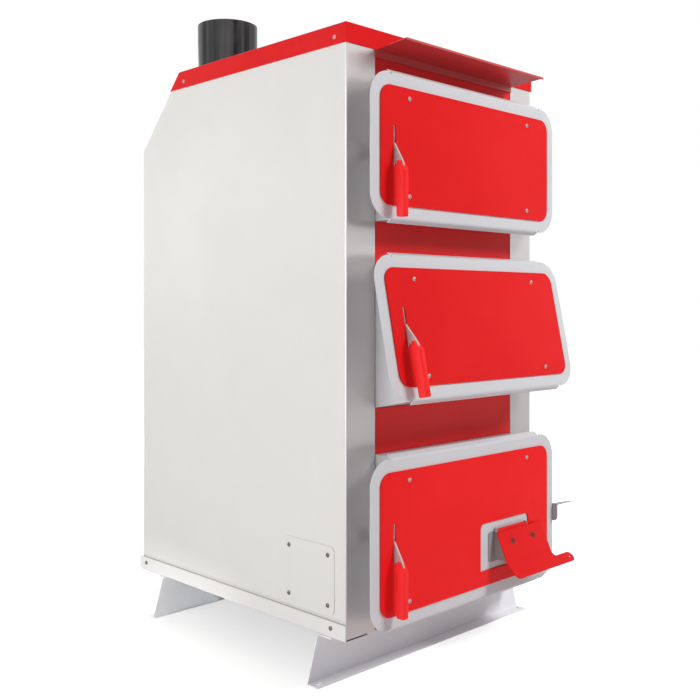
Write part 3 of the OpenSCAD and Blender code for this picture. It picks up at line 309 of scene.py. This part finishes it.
def coat_material(name, clean, worn, roughness, gloss=0.5, peel=0.25, peel_scale=PEEL_SCALE,
                  strip_shade=None):
    """Powder coated or painted sheet. A given shade colour is painted shade, laid only on the
    casing's front face.
    """
    material, n, shader, place = new_material(name)
    surface = use_group(n, COAT, place, Peel_Scale=peel_scale)
    tint = n.mix(n.math("MULTIPLY", surface.outputs["Marks"], MARK_SHARE), clean, worn)
    tint = n.mix(n.math("MULTIPLY", surface.outputs["Specks"], SPECK_SHARE), tint, worn)
    if strip_shade:
        tint = ledge_and_strip_shade(n, shader, place, tint, strip_shade)
    n.join(tint, shader.inputs["Base Color"])
    rough = n.ramp(surface.outputs["Marks"], 0.0, 1.0, roughness, roughness + COAT_ROUGHNESS_RUN)
    n.join(rough, shader.inputs["Roughness"])
    shader.inputs["Specular IOR Level"].default_value = gloss
    add_bump(n, shader, surface.outputs["Height"], peel, COAT_RELIEF)
    return material


def zinc_material(name, bright, dull, roughness, crystal_scale=CRYSTAL_SCALE, metallic=0.85,
                  upper=None):
    """Galvanised or plated steel. A given red colour is a painted reflection of the red cover, laid
    only on what lies high on the casing.
    """
    material, n, shader, place = new_material(name)
    surface = use_group(n, ZINC, place, Crystal_Scale=crystal_scale)
    tint = n.mix(surface.outputs["Spangle"], dull, bright)
    if upper:
        # Painted reflection of the red cover on what lies above UPPER_Z
        height = split_place(n, place)["Z"]
        tint = n.mix(n.ramp(height, UPPER_Z, UPPER_Z + UPPER_BLEND, 0.0, 1.0), tint, upper)
    n.join(tint, shader.inputs["Base Color"])
    rough = n.ramp(surface.outputs["Spangle"], 0.0, 1.0, roughness, roughness + ZINC_ROUGHNESS_RUN)
    n.join(rough, shader.inputs["Roughness"])
    shader.inputs["Metallic"].default_value = metallic
    add_bump(n, shader, surface.outputs["Height"], 0.2, METAL_RELIEF)
    return material


def flue_material():
    """Black heat resistant paint on rolled plate, with faint streaks that run up the pipe."""
    material, n, shader, place = new_material("flue_black")
    stretch = n.add("ShaderNodeMapping")
    stretch.inputs["Scale"].default_value = (42.0, 42.0, 1.2)
    n.join(place, stretch.inputs["Vector"])
    streaks = n.texture("ShaderNodeTexNoise", stretch.outputs["Vector"], Scale=1.0, Detail=4.0)
    cloud = n.texture("ShaderNodeTexNoise", place, Scale=16.0, Detail=6.0, Roughness=0.6)
    grain = n.texture("ShaderNodeTexNoise", place, Scale=520.0, Detail=3.0)
    streaky = n.ramp(streaks.outputs["Fac"], 0.4, 0.6, 0.0, 1.0)
    cloudy = n.ramp(cloud.outputs["Fac"], 0.5, 0.75, 0.0, 0.25)
    tone = n.mix(streaky, paint(12, 12, 13), paint(74, 74, 76))
    n.join(n.mix(cloudy, tone, paint(96, 94, 92)), shader.inputs["Base Color"])
    n.join(n.ramp(streaks.outputs["Fac"], 0.3, 0.7, 0.24, 0.36), shader.inputs["Roughness"])
    shader.inputs["Metallic"].default_value = 0.1
    shader.inputs["Specular IOR Level"].default_value = 0.22
    add_bump(n, shader, grain.outputs["Fac"], 0.12, METAL_RELIEF)
    return material


def rough_material(name, dark, pale, scale, roughness, relief, metallic=0.0):
    """Cast, sooty, pressed or fibrous matter: two tones mixed by a fine noise with real relief."""
    material, n, shader, place = new_material(name)
    grain = n.texture("ShaderNodeTexNoise", place, Scale=scale, Detail=8.0, Roughness=0.65)
    slow = n.texture("ShaderNodeTexNoise", place, Scale=scale / 18, Detail=4.0)
    both = n.math("MULTIPLY", grain.outputs["Fac"], slow.outputs["Fac"])
    n.join(n.mix(n.ramp(both, 0.12, 0.42, 0.0, 1.0), dark, pale), shader.inputs["Base Color"])
    rough = n.ramp(grain.outputs["Fac"], 0.3, 0.7, roughness - ROUGH_RUN, roughness + ROUGH_RUN)
    n.join(rough, shader.inputs["Roughness"])
    shader.inputs["Metallic"].default_value = metallic
    add_bump(n, shader, grain.outputs["Fac"], 0.6, relief)
    return material


def grip_material():
    """Bright red moulded plastic with a fine spark-eroded grain."""
    material, n, shader, place = new_material("grip_plastic")
    grain = n.texture("ShaderNodeTexNoise", place, Scale=900.0, Detail=2.0)
    smear = n.texture("ShaderNodeTexNoise", place, Scale=24.0, Detail=4.0)
    smeared = n.ramp(smear.outputs["Fac"], 0.4, 0.75, 0.0, 0.5)
    n.join(n.mix(smeared, paint(255, 42, 44), paint(240, 34, 38)), shader.inputs["Base Color"])
    n.join(n.ramp(smear.outputs["Fac"], 0.35, 0.7, 0.5, 0.6), shader.inputs["Roughness"])
    shader.inputs["Specular IOR Level"].default_value = 0.25
    add_bump(n, shader, grain.outputs["Fac"], 0.15, GRIP_RELIEF)
    return material


def rope_material():
    """Braided sealing rope."""
    material, n, shader, place = new_material("braided_rope")
    weave = n.texture("ShaderNodeTexVoronoi", place, Scale=420.0)
    hollow = n.ramp(weave.outputs["Distance"], 0.1, 0.6, 0.0, 1.0)
    n.join(n.mix(hollow, paint(150, 146, 138), paint(84, 80, 74)), shader.inputs["Base Color"])
    shader.inputs["Roughness"].default_value = 0.9
    add_bump(n, shader, weave.outputs["Distance"], 0.7, ROPE_RELIEF)
    return material


PLATED_SCALE = 900.0
FRAME_COAT = {"roughness": 0.38, "peel": 0.35, "peel_scale": 300.0}

MATERIALS = {
    # The casing's white, with painted shade on its front face and just above the skirts
    "white_casing": coat_material("casing_white_painted_shade", paint(225, 223, 220), paint(219, 217, 213),
                                  roughness=0.29, strip_shade=paint(208, 205, 204)),
    "white_door": coat_material("door_white", paint(206, 206, 210), paint(198, 198, 202),
                                roughness=0.3),
    "red_enamel": coat_material("red_enamel", paint(224, 22, 25), paint(214, 16, 20),
                                roughness=0.42, gloss=0.15),
    "red_grip": grip_material(),
    "grey_paint": coat_material("frame_grey", paint(200, 199, 201), paint(190, 189, 192),
                                **FRAME_COAT),
    "galvanised": zinc_material("galvanised_sheet", paint(206, 198, 196), paint(190, 182, 180),
                                roughness=0.42, metallic=0.5),
    "fastener_steel": zinc_material("plated_fastener", paint(216, 206, 206), paint(180, 170, 170),
                                    roughness=0.3, crystal_scale=PLATED_SCALE, metallic=0.7),
    "flue_steel": flue_material(),
    "boiler_plate": rough_material("boiler_plate", paint(38, 36, 35), paint(92, 88, 84),
                                   scale=180.0, roughness=0.62, relief=0.6 * MM, metallic=0.5),
    "cast_grate": rough_material("cast_grate", paint(30, 29, 28), paint(74, 70, 68),
                                 scale=260.0, roughness=0.7, relief=1.2 * MM, metallic=0.4),
    "rope_seal": rope_material(),
    "fibre_board": rough_material("fibre_board", paint(176, 168, 152), paint(222, 216, 202),
                                  scale=240.0, roughness=0.9, relief=0.8 * MM),
    "mineral_wool": rough_material("mineral_wool", paint(150, 128, 74), paint(214, 196, 140),
                                   scale=320.0, roughness=0.95, relief=2 * MM),
}

# Pieces whose colour differs from their slot: paint copies with painted light and shade, the casing
# screws' painted reflection, the flap bolts' own colour
# Painted light: lighter copies of the grey frame paint for the feet and skirts, which sit low and
# dim
FOOT_GREY_PAINTED_LIGHT = coat_material("foot_grey_painted_light", paint(246, 245, 249), paint(238, 237, 241), **FRAME_COAT)
SKIRT_GREY_PAINTED_LIGHT = coat_material("skirt_grey_painted_light", paint(230, 228, 225), paint(221, 219, 216), **FRAME_COAT)
OWN_LOOK_AND_PAINTED_LIGHT = {
    "front_foot": FOOT_GREY_PAINTED_LIGHT,
    "rear_foot": FOOT_GREY_PAINTED_LIGHT,
    "left_skirt": SKIRT_GREY_PAINTED_LIGHT,
    "right_skirt": SKIRT_GREY_PAINTED_LIGHT,
    # Painted light: lighter copies of the red enamel for the ash door and the front panel between
    # the doors
    "ash_door_panel": coat_material("ash_enamel_painted_light", paint(240, 22, 25), paint(230, 16, 20),
                                    roughness=0.42, gloss=0.15),
    "front_panel": coat_material("front_enamel_painted_light", paint(240, 46, 48), paint(230, 40, 42),
                                 roughness=0.42, gloss=0.2),
    # Painted shade: a darker, duller copy of the red enamel for the shaded visor
    "visor": coat_material("visor_enamel_painted_shade", paint(196, 45, 48), paint(185, 38, 42),
                           roughness=0.3, gloss=0.8),
    # Painted shade: a darker grey for the collar inside the air opening
    "air_collar": coat_material("collar_grey_painted_shade", paint(154, 148, 147), paint(141, 135, 134),
                                roughness=0.34),
    # Painted shade: a darker copy of the grey frame paint for the bracket, whose leg sits in shade
    "chain_bracket": coat_material("bracket_grey_painted_shade", paint(168, 167, 169), paint(140, 139, 141),
                                   roughness=0.4),
    # Dull casing screws, with a painted reflection of the red cover on those high up
    "casing_screws": zinc_material("dull_screw_painted_reflection", paint(136, 132, 130), paint(92, 88, 86),
                                   roughness=0.42, crystal_scale=PLATED_SCALE, metallic=0.6,
                                   upper=paint(216, 150, 150)),
    "flap_bolts": zinc_material("blackened_bolt", paint(150, 66, 58), paint(118, 50, 46),
                                roughness=0.45, crystal_scale=PLATED_SCALE, metallic=0.6),
}

for entry in frame["record"]["subparts"]:
    slots = frame["nodes"][entry["node"]].data.materials
    slots.clear()
    slots.append(OWN_LOOK_AND_PAINTED_LIGHT.get(entry["node"], MATERIALS[entry["material_slot"]]))


# Pieces finished by hand over the CAD solids: real bend radii and broken edges

BODY_OF = {node: body for body, nodes in frame["record"]["behaviour"]["bodies"].items()
           for node in nodes}
FLAT_ANGLE = math.radians(0.6)
FOLD_ANGLE = math.radians(8)
SHARP_ANGLE = math.radians(32)
SHORTEST_FOLD = 60 * MM
SEAM_MERGE = 0.03 * MM
BEVEL_MERGE = 0.02 * MM
FOLD_REACH = 2.5
FOLD_SEGMENTS = 4
CUT_EDGE = 0.35 * MM
EDGE_SEGMENTS = 2
SHEET_SMOOTH = 34
SMALL_PART_SMOOTH = 50
WELD_SMOOTH = 60


def only_select(piece):
    bpy.ops.object.select_all(action="DESELECT")
    piece.select_set(True)
    bpy.context.view_layer.objects.active = piece


def clean_mesh(distance):
    """Merges points that coincide and drops slivers, in edit mode."""
    bpy.ops.mesh.select_all(action="SELECT")
    bpy.ops.mesh.remove_doubles(threshold=distance)
    bpy.ops.mesh.dissolve_degenerate(threshold=distance)


def copy_node(node):
    """A piece with its own copy of a node's mesh, its seams merged and its flats made whole."""
    piece = bpy.data.objects.new(node + "_finish", frame["nodes"][node].data.copy())
    bpy.context.scene.collection.objects.link(piece)
    only_select(piece)
    bpy.ops.object.mode_set(mode="EDIT")
    clean_mesh(SEAM_MERGE)
    bpy.ops.mesh.dissolve_limited(angle_limit=FLAT_ANGLE)
    bpy.ops.object.mode_set(mode="OBJECT")
    return piece


def round_picked(piece, pick, width, segments):
    """Bevels the edges that pick(edge) chooses."""
    only_select(piece)
    bpy.ops.object.mode_set(mode="EDIT")
    bpy.ops.mesh.select_mode(type="EDGE")
    bpy.ops.mesh.select_all(action="DESELECT")
    mesh = bmesh.from_edit_mesh(piece.data)
    chosen = [edge for edge in mesh.edges if len(edge.link_faces) == 2 and pick(edge)]
    for edge in chosen:
        edge.select_set(True)
    bmesh.update_edit_mesh(piece.data)
    if chosen:
        bpy.ops.mesh.bevel(offset=width, segments=segments, profile=0.5, affect="EDGES",
                           clamp_overlap=False, miter_outer="SHARP")
        clean_mesh(BEVEL_MERGE)
    bpy.ops.object.mode_set(mode="OBJECT")


def goes_on(face, edge, depth):
    """Tells whether a face still covers the point that lies a depth behind an edge's middle."""
    loop = next(loop for loop in face.loops if loop.edge == edge)
    start, end = loop.vert.co, loop.link_loop_next.vert.co
    along = (end - start).normalized()
    inward = face.normal.cross(along)
    point = (start + end) / 2 + inward * depth
    inside = False
    for corner in face.loops:
        first = corner.vert.co - point
        second = corner.link_loop_next.vert.co - point
        low, high = first.dot(inward), second.dot(inward)
        if (low > 0) != (high > 0):
            share = low / (low - high)
            if first.dot(along) * (1 - share) + second.dot(along) * share > 0:
                inside = not inside
    return inside


def is_fold(edge, thickness, convex):
    """Tells a fold of sheet metal, which has a broad face on both sides, from a cut edge."""
    turn = edge.calc_face_angle_signed()
    if edge.calc_length() < SHORTEST_FOLD or (turn > 0) != convex or abs(turn) < FOLD_ANGLE:
        return False
    return all(goes_on(face, edge, FOLD_REACH * thickness) for face in edge.link_faces)


def is_sharp(edge):
    return abs(edge.calc_face_angle_signed()) > SHARP_ANGLE


def settle(piece, degrees):
    """Smooth shading whose flats stay flat."""
    only_select(piece)
    bpy.ops.object.shade_smooth_by_angle(angle=math.radians(degrees))
    bpy.ops.object.modifier_add(type="WEIGHTED_NORMAL")
    weighted = piece.modifiers[-1]
    weighted.weight = 90
    weighted.keep_sharp = True
    bpy.ops.object.modifier_apply(modifier=weighted.name)


def stand_in(piece, node):
    """Lets a piece ride where its node rides, in its place."""
    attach(piece, BODY_OF[node])
    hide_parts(node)


def finish_sheet(node, thickness, bend):
    """Folded sheet metal: bend radii on the folds and broken cut edges."""
    piece = copy_node(node)
    outer = bend + thickness
    round_picked(piece, lambda edge: is_fold(edge, thickness, True), outer, FOLD_SEGMENTS)
    round_picked(piece, lambda edge: is_fold(edge, thickness, False), bend, FOLD_SEGMENTS)
    round_picked(piece, is_sharp, CUT_EDGE, 1)
    settle(piece, SHEET_SMOOTH)
    stand_in(piece, node)


def finish_solid(node, edge_width):
    """A machined, moulded or cast piece with its edges rounded."""
    piece = copy_node(node)
    round_picked(piece, is_sharp, edge_width, EDGE_SEGMENTS)
    settle(piece, SHEET_SMOOTH)
    stand_in(piece, node)


# Each sheet's thickness and inner bend radius, in millimetres
SHEETS = (
    ("left_side_panel", 1.5, 1.8), ("right_side_panel", 1.5, 1.8), ("rear_panel", 1.5, 1.2),
    ("front_panel", 1.5, 1.2), ("top_cover", 2.0, 1.2), ("visor", 2.0, 1.2),
    ("left_skirt", 2.0, 1.0), ("right_skirt", 2.0, 1.0), ("front_foot", 3.0, 2.0),
    ("rear_foot", 3.0, 2.0), ("upper_pan", 2.0, 1.5), ("loading_pan", 2.0, 1.5),
    ("ash_door_pan", 2.0, 1.5), ("chain_bracket", 2.0, 0.8),
)
# The width of each solid's rounded edges, in millimetres
SOLIDS = (
    ("upper_panel", 0.5), ("loading_panel", 0.5), ("ash_door_panel", 0.5),
    ("side_cover_plate", 0.4), ("upper_lever", 0.5), ("loading_lever", 0.5),
    ("ash_door_lever", 0.5), ("air_collar", 0.6), ("air_flap", 0.4), ("flap_rod", 0.5),
    ("upper_grip", 1.2), ("loading_grip", 1.2), ("ash_door_grip", 1.2), ("flue_box", 1.5),
    ("flue_pipe", 0.8), ("supply_socket", 0.8), ("return_socket", 0.8), ("drain_socket", 0.8),
    ("ash_pan", 0.5), ("grate", 1.5), ("upper_throat", 0.7), ("loading_throat", 0.7),
    ("ash_throat", 0.7), ("upper_lining", 2.0), ("loading_lining", 2.0),
    ("ash_door_lining", 2.0), ("upper_seal", 2.6), ("loading_seal", 2.6),
    ("ash_door_seal", 2.6), ("foot_bolts", 0.4),
)

make_camera()
for node, thickness, bend in SHEETS:
    finish_sheet(node, thickness * MM, bend * MM)
for node, edge_width in SOLIDS:
    finish_solid(node, edge_width * MM)


# Screws with a low domed head and a star recess

SCREW_HEAD_R = 4.5 * MM
SCREW_HEAD_H = 2.4 * MM
SCREW_R = 1.9 * MM
DOME_STEPS = ((0.14, 0.3), (0.2, 0.24), (0.12, 0.1))
RECESS_DEPTH = 0.55 * SCREW_HEAD_H
STAR_LOBES = 6
POINTS_PER_LOBE = 4
STAR_PULL = (1.0, 0.9, 0.7, 0.9)
TWIST_STEP = math.radians(37)
FACING = 0.9
NEARLY = 0.1 * MM
CROWN_DEPTH = 0.001 * MM


def standing_cylinder(vertices, radius, height):
    """A cylinder that stands at zero height on the Z axis."""
    bpy.ops.object.select_all(action="DESELECT")
    bpy.ops.mesh.primitive_cylinder_add(vertices=vertices, radius=radius, depth=height,
                                        location=(0.0, 0.0, height / 2))
    bpy.ops.object.transform_apply(location=True)
    return bpy.context.object


def select_faces(piece, pick):
    bpy.ops.mesh.select_mode(type="FACE")
    bpy.ops.mesh.select_all(action="DESELECT")
    mesh = bmesh.from_edit_mesh(piece.data)
    for face in mesh.faces:
        if pick(face):
            face.select_set(True)
    bmesh.update_edit_mesh(piece.data)


def extrude_up(height):
    bpy.ops.mesh.extrude_region_move(TRANSFORM_OT_translate={"value": (0.0, 0.0, height)})


def star_screw():
    """One screw on the Z axis, its head's seat at zero height and its shank below."""
    star_points = STAR_LOBES * POINTS_PER_LOBE
    screw = standing_cylinder(star_points, SCREW_HEAD_R, SCREW_HEAD_H / 3)
    bpy.ops.object.mode_set(mode="EDIT")
    select_faces(screw, lambda face: face.normal.z > FACING)
    for inset, lift in DOME_STEPS:
        bpy.ops.mesh.inset(thickness=inset * SCREW_HEAD_R)
        bpy.ops.transform.translate(value=(0.0, 0.0, lift * SCREW_HEAD_H))
    mesh = bmesh.from_edit_mesh(screw.data)
    recess = next(face for face in mesh.faces if face.select)
    for corner in recess.verts:
        step = round(math.atan2(corner.co.y, corner.co.x) / math.tau * star_points)
        corner.co.xy *= STAR_PULL[step % POINTS_PER_LOBE]
    bmesh.update_edit_mesh(screw.data)
    extrude_up(-RECESS_DEPTH)
    select_faces(screw, lambda face: face.normal.z < -FACING
                 and face.calc_center_median().z < NEARLY)
    bpy.ops.mesh.inset(thickness=SCREW_HEAD_R - SCREW_R)
    extrude_up(-SCREW_HEAD_H)
    bpy.ops.object.mode_set(mode="OBJECT")
    return screw


def middle_of(points):
    return sum(points, Vector()) / len(points)


def solids_of(node):
    """The points of each separate solid of a CAD node."""
    mesh = bmesh.new()
    mesh.from_mesh(frame["nodes"][node].data)
    bmesh.ops.remove_doubles(mesh, verts=mesh.verts, dist=0.01 * MM)
    seen = set()
    solids = []
    for start in mesh.verts:
        if start.index in seen:
            continue
        seen.add(start.index)
        waiting = [start]
        points = []
        while waiting:
            vert = waiting.pop()
            points.append(vert.co.copy())
            for edge in vert.link_edges:
                other = edge.other_vert(vert)
                if other.index not in seen:
                    seen.add(other.index)
                    waiting.append(other)
        solids.append(points)
    mesh.free()
    return solids


def seat_and_shank(points, outward):
    """Where a CAD screw's head sits, and how long its shank is."""
    heights = [point.dot(outward) for point in points]
    top, low = max(heights), min(heights)
    crown = [point for point, height in zip(points, heights) if height > top - CROWN_DEPTH]
    return middle_of(crown) - outward * SCREW_HEAD_H, top - low - SCREW_HEAD_H


def onto_seat(seat, outward):
    """The move that brings a piece from the Z axis to its seat, its top facing outward."""
    return Matrix.Translation(seat) @ UP.rotation_difference(outward).to_matrix().to_4x4()


def place_screw(name, seat, outward, shank, twist):
    """A copy of the screw with its own mesh, turned and set on its seat."""
    screw = bpy.data.objects.new(name, master_screw.data.copy())
    bpy.context.scene.collection.objects.link(screw)
    for vert in screw.data.vertices:
        if vert.co.z < -NEARLY:
            vert.co.z = -shank
    screw.data.transform(onto_seat(seat, outward) @ Matrix.Rotation(twist, 4, "Z"))
    return screw


def join_hardware(pieces, name, material):
    """Joins small parts to one piece of one material."""
    only_select(pieces[0])
    for piece in pieces:
        piece.select_set(True)
    bpy.ops.object.join()
    joined = pieces[0]
    joined.name = name
    joined.data.materials.append(material)
    settle(joined, SMALL_PART_SMOOTH)
    return joined


def replace_hardware(pieces, node):
    """Joins small parts to one piece that stands in for a CAD node."""
    stand_in(join_hardware(pieces, node + "_finish", frame["nodes"][node].data.materials[0]), node)


def dress_screws(node, outward_of):
    """Puts a star screw on the axis of each CAD screw of a node."""
    screws = []
    for points in solids_of(node):
        outward = outward_of(middle_of(points))
        seat, shank = seat_and_shank(points, outward)
        screws.append(place_screw(node, seat, outward, shank, len(screws) * TWIST_STEP))
    replace_hardware(screws, node)


CASING_MIDDLE_X = (cad_low.x + cad_high.x) / 2
LOADING_TILT = math.radians(11.66)
LOADING_FRONT = Matrix.Rotation(LOADING_TILT, 3, "X") @ FRONT


def nearer_side(middle):
    return Vector((1.0 if middle.x > CASING_MIDDLE_X else -1.0, 0.0, 0.0))


master_screw = star_screw()
dress_screws("casing_screws", nearer_side)
dress_screws("upper_screws", lambda middle: FRONT)
dress_screws("loading_screws", lambda middle: LOADING_FRONT)
dress_screws("ash_door_screws", lambda middle: FRONT)


# The flap's blackened bolts, each with a dished washer and a nut

FLAP_TILT = math.radians(-24.6)
FLAP_FRONT = Matrix.Rotation(FLAP_TILT, 3, "X") @ FRONT
WASHER_R = 7.5 * MM
WASHER_HOLE_R = 2.2 * MM
WASHER_T = 1.0 * MM
WASHER_SEGMENTS = 40
WASHER_FLAT = 0.3
WASHER_DISH = 0.6 * WASHER_T
NUT_R = 3.5 * MM
NUT_H = 1.4 * MM
NUT_CHAMFER = NUT_H / 5


def dished_washer(seat, outward):
    """A thin washer whose rim is drawn down towards the sheet."""
    width = WASHER_R - WASHER_HOLE_R
    washer = standing_cylinder(WASHER_SEGMENTS, WASHER_R, WASHER_T)
    bpy.ops.object.mode_set(mode="EDIT")
    for side in (1.0, -1.0):
        select_faces(washer, lambda face: face.normal.z * side > FACING)
        bpy.ops.mesh.inset(thickness=WASHER_FLAT * width)
        bpy.ops.mesh.inset(thickness=(1 - WASHER_FLAT) * width)
    select_faces(washer, lambda face: abs(face.normal.z) > FACING and len(face.verts) > 4)
    bpy.ops.mesh.bridge_edge_loops()
    mesh = bmesh.from_edit_mesh(washer.data)
    for vert in mesh.verts:
        if vert.co.xy.length > 0.95 * WASHER_R and vert.co.z > 0.5 * WASHER_T:
            vert.co.z -= WASHER_DISH
    bmesh.update_edit_mesh(washer.data)
    bpy.ops.object.mode_set(mode="OBJECT")
    washer.data.transform(onto_seat(seat, outward))
    return washer


def hex_nut(seat, outward):
    """A small nut with chamfered corners, its outer face on the given seat."""
    nut = standing_cylinder(6, NUT_R, NUT_H)
    round_picked(nut, lambda edge: abs(edge.verts[0].co.z - edge.verts[1].co.z) < NUT_H / 2,
                 NUT_CHAMFER, 1)
    nut.data.transform(onto_seat(seat, outward))
    return nut


def dress_flap_bolts():
    """A washer, a screw and a nut in place of each of the flap's CAD bolts."""
    pieces = []
    for points in solids_of("flap_bolts"):
        seat, shank = seat_and_shank(points, FLAP_FRONT)
        pieces.append(dished_washer(seat, FLAP_FRONT))
        pieces.append(place_screw("flap_bolt", seat + FLAP_FRONT * WASHER_T, FLAP_FRONT,
                                  shank + WASHER_T, len(pieces) * TWIST_STEP))
        pieces.append(hex_nut(seat - FLAP_FRONT * shank, FLAP_FRONT))
    replace_hardware(pieces, "flap_bolts")


dress_flap_bolts()


# Small things that the CAD leaves to the scene: the rear panel's screws and the flue's weld

REAR_SCREW_IN = 12 * MM
REAR_SCREW_ROWS = 5
REAR_SCREW_MARGIN = 60 * MM
REAR_SCREW_SHANK = 6 * MM
SLOPE_DROP = 164 * MM
WELD_R = 2.6 * MM
WELD_SIDES = 10
WELD_RIPPLES = 140
WELD_RIPPLE_STEPS = 3
WELD_RIPPLE_H = 0.3 * MM
WELD_WAVES = 23
WELD_WAVE_H = 0.25 * MM
WELD_WAVE_START = 1.0
FLUE_STOP_PROUD = 4 * MM


def add_to_casing(piece):
    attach(piece, "casing")


def rear_screws():
    """Screws in rows of two up the upright part of the rear panel."""
    low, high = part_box("rear_panel")
    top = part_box("left_side_panel")[1].z - SLOPE_DROP - REAR_SCREW_MARGIN
    bottom = low.z + REAR_SCREW_MARGIN
    pitch = (top - bottom) / (REAR_SCREW_ROWS - 1)
    screws = []
    for side in (low.x + REAR_SCREW_IN, high.x - REAR_SCREW_IN):
        for row in range(REAR_SCREW_ROWS):
            seat = Vector((side, high.y, bottom + pitch * row))
            screws.append(place_screw("rear_screw", seat, REAR, REAR_SCREW_SHANK,
                                      len(screws) * TWIST_STEP))
    steel = MATERIALS["fastener_steel"]
    add_to_casing(join_hardware(screws, "rear_panel_screws", steel))


def flue_weld():
    """A rippled fillet weld round the foot of the flue pipe."""
    pipe_low, pipe_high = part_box("flue_pipe")
    radius = (pipe_high.x - pipe_low.x) / 2 - FLUE_STOP_PROUD
    middle = (pipe_low + pipe_high) / 2
    bpy.ops.object.select_all(action="DESELECT")
    bpy.ops.mesh.primitive_torus_add(location=(middle.x, middle.y, pipe_low.z),
                                     major_radius=radius, minor_radius=WELD_R,
                                     major_segments=WELD_RIPPLES * WELD_RIPPLE_STEPS,
                                     minor_segments=WELD_SIDES)
    weld = bpy.context.object
    weld.name = "flue_weld"
    bpy.ops.object.transform_apply(location=True)
    bpy.ops.object.mode_set(mode="EDIT")
    mesh = bmesh.from_edit_mesh(weld.data)
    for vert in mesh.verts:
        if vert.co.z > pipe_low.z:
            out = (vert.co.xy - middle.xy).normalized()
            angle = math.atan2(out.y, out.x)
            ripple = WELD_RIPPLE_H * math.sin(angle * WELD_RIPPLES)
            ripple += WELD_WAVE_H * math.sin(angle * WELD_WAVES + WELD_WAVE_START)
            vert.co += ripple * Vector((out.x, out.y, 1.0))
    bmesh.update_edit_mesh(weld.data)
    bpy.ops.object.mode_set(mode="OBJECT")
    weld.data.materials.append(MATERIALS["flue_steel"])
    settle(weld, WELD_SMOOTH)
    add_to_casing(weld)


rear_screws()
flue_weld()
bpy.data.objects.remove(master_screw)


# Floor, world and lamps

FLOOR_SIZE = 24.0
FLOOR_GREY = (0.85, 0.85, 0.85, 1.0)
FLOOR_GLOW = (0.55, 1.0)
FLOOR_GLOW_REACH = (0.9, 3.0)
WORLD_LIGHT = 0.27
WORLD_SHINE = 1.15


def make_floor():
    """A pale floor that keeps the shadow near the boiler and fades to white away from it."""
    bpy.ops.object.select_all(action="DESELECT")
    bpy.ops.mesh.primitive_plane_add(size=FLOOR_SIZE, location=(0.0, 0.0, 0.0))
    floor = bpy.context.object
    floor.name = "studio_floor"
    material, n, shader, place = new_material("studio_floor")
    shader.inputs["Base Color"].default_value = FLOOR_GREY
    shader.inputs["Roughness"].default_value = 0.95
    shader.inputs["Specular IOR Level"].default_value = 0.0
    shader.inputs["Emission Color"].default_value = WHITE
    away = n.add("ShaderNodeVectorMath", operation="LENGTH")
    n.join(place, away.inputs[0])
    glow = n.ramp(away.outputs["Value"], *FLOOR_GLOW_REACH, *FLOOR_GLOW)
    seen = n.add("ShaderNodeLightPath").outputs["Is Camera Ray"]
    n.join(n.math("MULTIPLY", seen, glow), shader.inputs["Emission Strength"])
    floor.data.materials.append(material)


def make_world():
    """White where the camera sees it, dim as light, and brighter where glossy paint mirrors it."""
    world = bpy.data.worlds.new("studio_world")
    world.use_nodes = True
    bpy.context.scene.world = world
    n = Nodes(world.node_tree)
    lit = world.node_tree.nodes["Background"]
    lit.inputs["Color"].default_value = WHITE
    seen = n.add("ShaderNodeBackground")
    seen.inputs["Color"].default_value = WHITE
    path = n.add("ShaderNodeLightPath")
    n.join(n.ramp(path.outputs["Is Glossy Ray"], 0.0, 1.0, WORLD_LIGHT, WORLD_SHINE),
           lit.inputs["Strength"])
    choice = n.add("ShaderNodeMixShader")
    n.join(path.outputs["Is Camera Ray"], choice.inputs["Fac"])
    n.join(lit.outputs["Background"], choice.inputs[1])
    n.join(seen.outputs["Background"], choice.inputs[2])
    n.join(choice.outputs["Shader"], world.node_tree.nodes["World Output"].inputs["Surface"])


def make_lamp(name, place, aim, size, power, spread=180, roll=0, glossy=True):
    """A rectangular lamp of a size in metres and a power in watts. Angles are in degrees."""
    data = bpy.data.lights.new(name, "AREA")
    data.shape = "RECTANGLE"
    data.size, data.size_y = size
    data.energy = power
    data.spread = math.radians(spread)
    lamp = bpy.data.objects.new(name, data)
    lamp.visible_camera = False
    lamp.visible_glossy = glossy
    lamp.location = place
    turn = (Vector(aim) - Vector(place)).to_track_quat("-Z", "Y")
    lamp.rotation_euler = (turn @ Quaternion(UP, math.radians(roll))).to_euler()
    bpy.context.scene.collection.objects.link(lamp)


make_floor()
make_world()
make_lamp("left_softbox", place=(-3.2, 0.2, 0.85), aim=(0.0, 0.0, 0.65), size=(2.4, 1.7),
          power=54.5)
make_lamp("front_softbox", place=(1.6, -2.9, 2.9), aim=(0.0, -0.3, 0.6), size=(1.0, 1.0),
          power=103.0, glossy=False)
make_lamp("rear_softbox", place=(0.9, 3.2, 1.3), aim=(0.0, 0.3, 0.7), size=(1.6, 1.6), power=30.0)
make_lamp("rear_foot_fill", place=(-1.3, -0.5, 0.03), aim=(0.0, 0.4, 0.035), size=(0.3, 0.02),
          power=0.08, spread=14)
make_lamp("side_sheen", place=(-2.8, 3.3, 1.55), aim=(0.0, 0.0, 0.9), size=(2.4, 0.35),
          power=5.5, roll=36)
